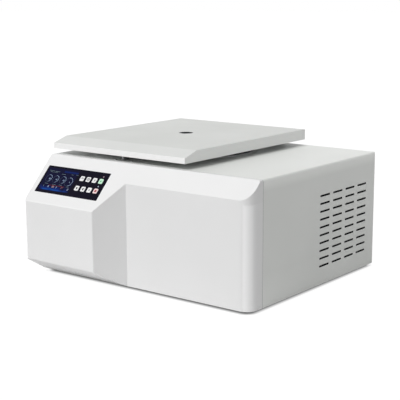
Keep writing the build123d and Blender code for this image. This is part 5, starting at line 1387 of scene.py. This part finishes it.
class CENTRIFUGE_OT_stage(bpy.types.Operator):
    """Lay the floor, and set the sky, the soft lamp and the camera"""

    bl_idname = "centrifuge.stage"
    bl_label = "Stage"

    def execute(self, context):
        scene = context.scene
        stage = scene.centrifuge_stage
        shape = bmesh.new()
        bmesh.ops.create_grid(shape, x_segments=1, y_segments=1, size=FLOOR_HALF_SIDE)
        mesh = bpy.data.meshes.new("floor")
        shape.to_mesh(mesh)
        shape.free()
        mesh.materials.append(white_floor(stage))
        floor = bpy.data.objects.new("floor", mesh)
        scene.collection.objects.link(floor)

        world = bpy.data.worlds.new("studio")
        world.use_nodes = True
        tree = world.node_tree
        strength = add_range(tree, add_seen(tree), 0.0, 1.0, stage.sky_strength, 1.0)
        feed(tree, tree.nodes["Background"], {"Color": (1, 1, 1, 1), "Strength": strength})
        scene.world = world

        lamp = bpy.data.lights.new("soft_sun", "SUN")
        lamp.energy = stage.sun_strength
        lamp.angle = stage.sun_softness
        sun = bpy.data.objects.new("soft_sun", lamp)
        sun.rotation_euler = Vector(stage.sun_direction).to_track_quat("Z", "Y").to_euler()
        scene.collection.objects.link(sun)

        lens = bpy.data.cameras.new("camera")
        lens.lens = stage.lens
        lens.sensor_width = 36.0
        lens.clip_end = 100.0
        camera = bpy.data.objects.new("camera", lens)
        yaw, pitch, roll = stage.camera_yaw, stage.camera_pitch, stage.camera_roll
        ahead = Vector((-sin(yaw) * cos(pitch), cos(yaw) * cos(pitch), -sin(pitch)))
        level = Vector((cos(yaw), sin(yaw), 0))
        upright = level.cross(ahead)
        right = level * cos(roll) + upright * sin(roll)
        up = upright * cos(roll) - level * sin(roll)
        turn = Matrix((right, up, -ahead)).transposed().to_4x4()
        camera.matrix_world = Matrix.Translation(stage.camera_place) @ turn
        scene.collection.objects.link(camera)
        scene.camera = camera
        scene.view_settings.view_transform = "Standard"
        return {"FINISHED"}


OPERATORS = (
    CENTRIFUGE_OT_outside_finishes,
    CENTRIFUGE_OT_display_finishes,
    CENTRIFUGE_OT_chamber_finishes,
    CENTRIFUGE_OT_machinery_finishes,
    CENTRIFUGE_OT_screen,
    CENTRIFUGE_OT_dials,
    CENTRIFUGE_OT_readings,
    CENTRIFUGE_OT_key_symbols,
    CENTRIFUGE_OT_pocket_numbers,
    CENTRIFUGE_OT_rocker_marks,
    CENTRIFUGE_OT_inlet_pins,
    CENTRIFUGE_OT_screw_crosses,
    CENTRIFUGE_OT_stage,
)


class CENTRIFUGE_PT_sidebar(bpy.types.Panel):
    """Shows the centrifuge's settings and a button for each operator that makes its finishes and pieces"""

    bl_idname = "CENTRIFUGE_PT_sidebar"
    bl_label = "Centrifuge"
    bl_space_type = "VIEW_3D"
    bl_region_type = "UI"
    bl_category = "Centrifuge"

    def draw(self, context):
        for name in SETTINGS:
            box = self.layout.box()
            settings = getattr(context.scene, name)
            for key in settings.__annotations__:
                box.prop(settings, key)
        for operator in OPERATORS:
            self.layout.operator(operator.bl_idname)


SETTINGS = {
    "centrifuge_coats": CoatSettings,
    "centrifuge_display": DisplaySettings,
    "centrifuge_keys": KeySettings,
    "centrifuge_fittings": FittingSettings,
    "centrifuge_stage": StageSettings,
}


def register():
    for group in (*SETTINGS.values(), *OPERATORS, CENTRIFUGE_PT_sidebar):
        bpy.utils.register_class(group)
    for name, group in SETTINGS.items():
        setattr(bpy.types.Scene, name, PointerProperty(type=group))


def unregister():
    for name in SETTINGS:
        delattr(bpy.types.Scene, name)
    for group in (CENTRIFUGE_PT_sidebar, *reversed(OPERATORS), *SETTINGS.values()):
        bpy.utils.unregister_class(group)


def main():
    """Dresses the frame, one operator after another."""
    register()
    for operator in OPERATORS:
        area, name = operator.bl_idname.split(".")
        getattr(getattr(bpy.ops, area), name)()


if __name__ == "__main__":
    main()
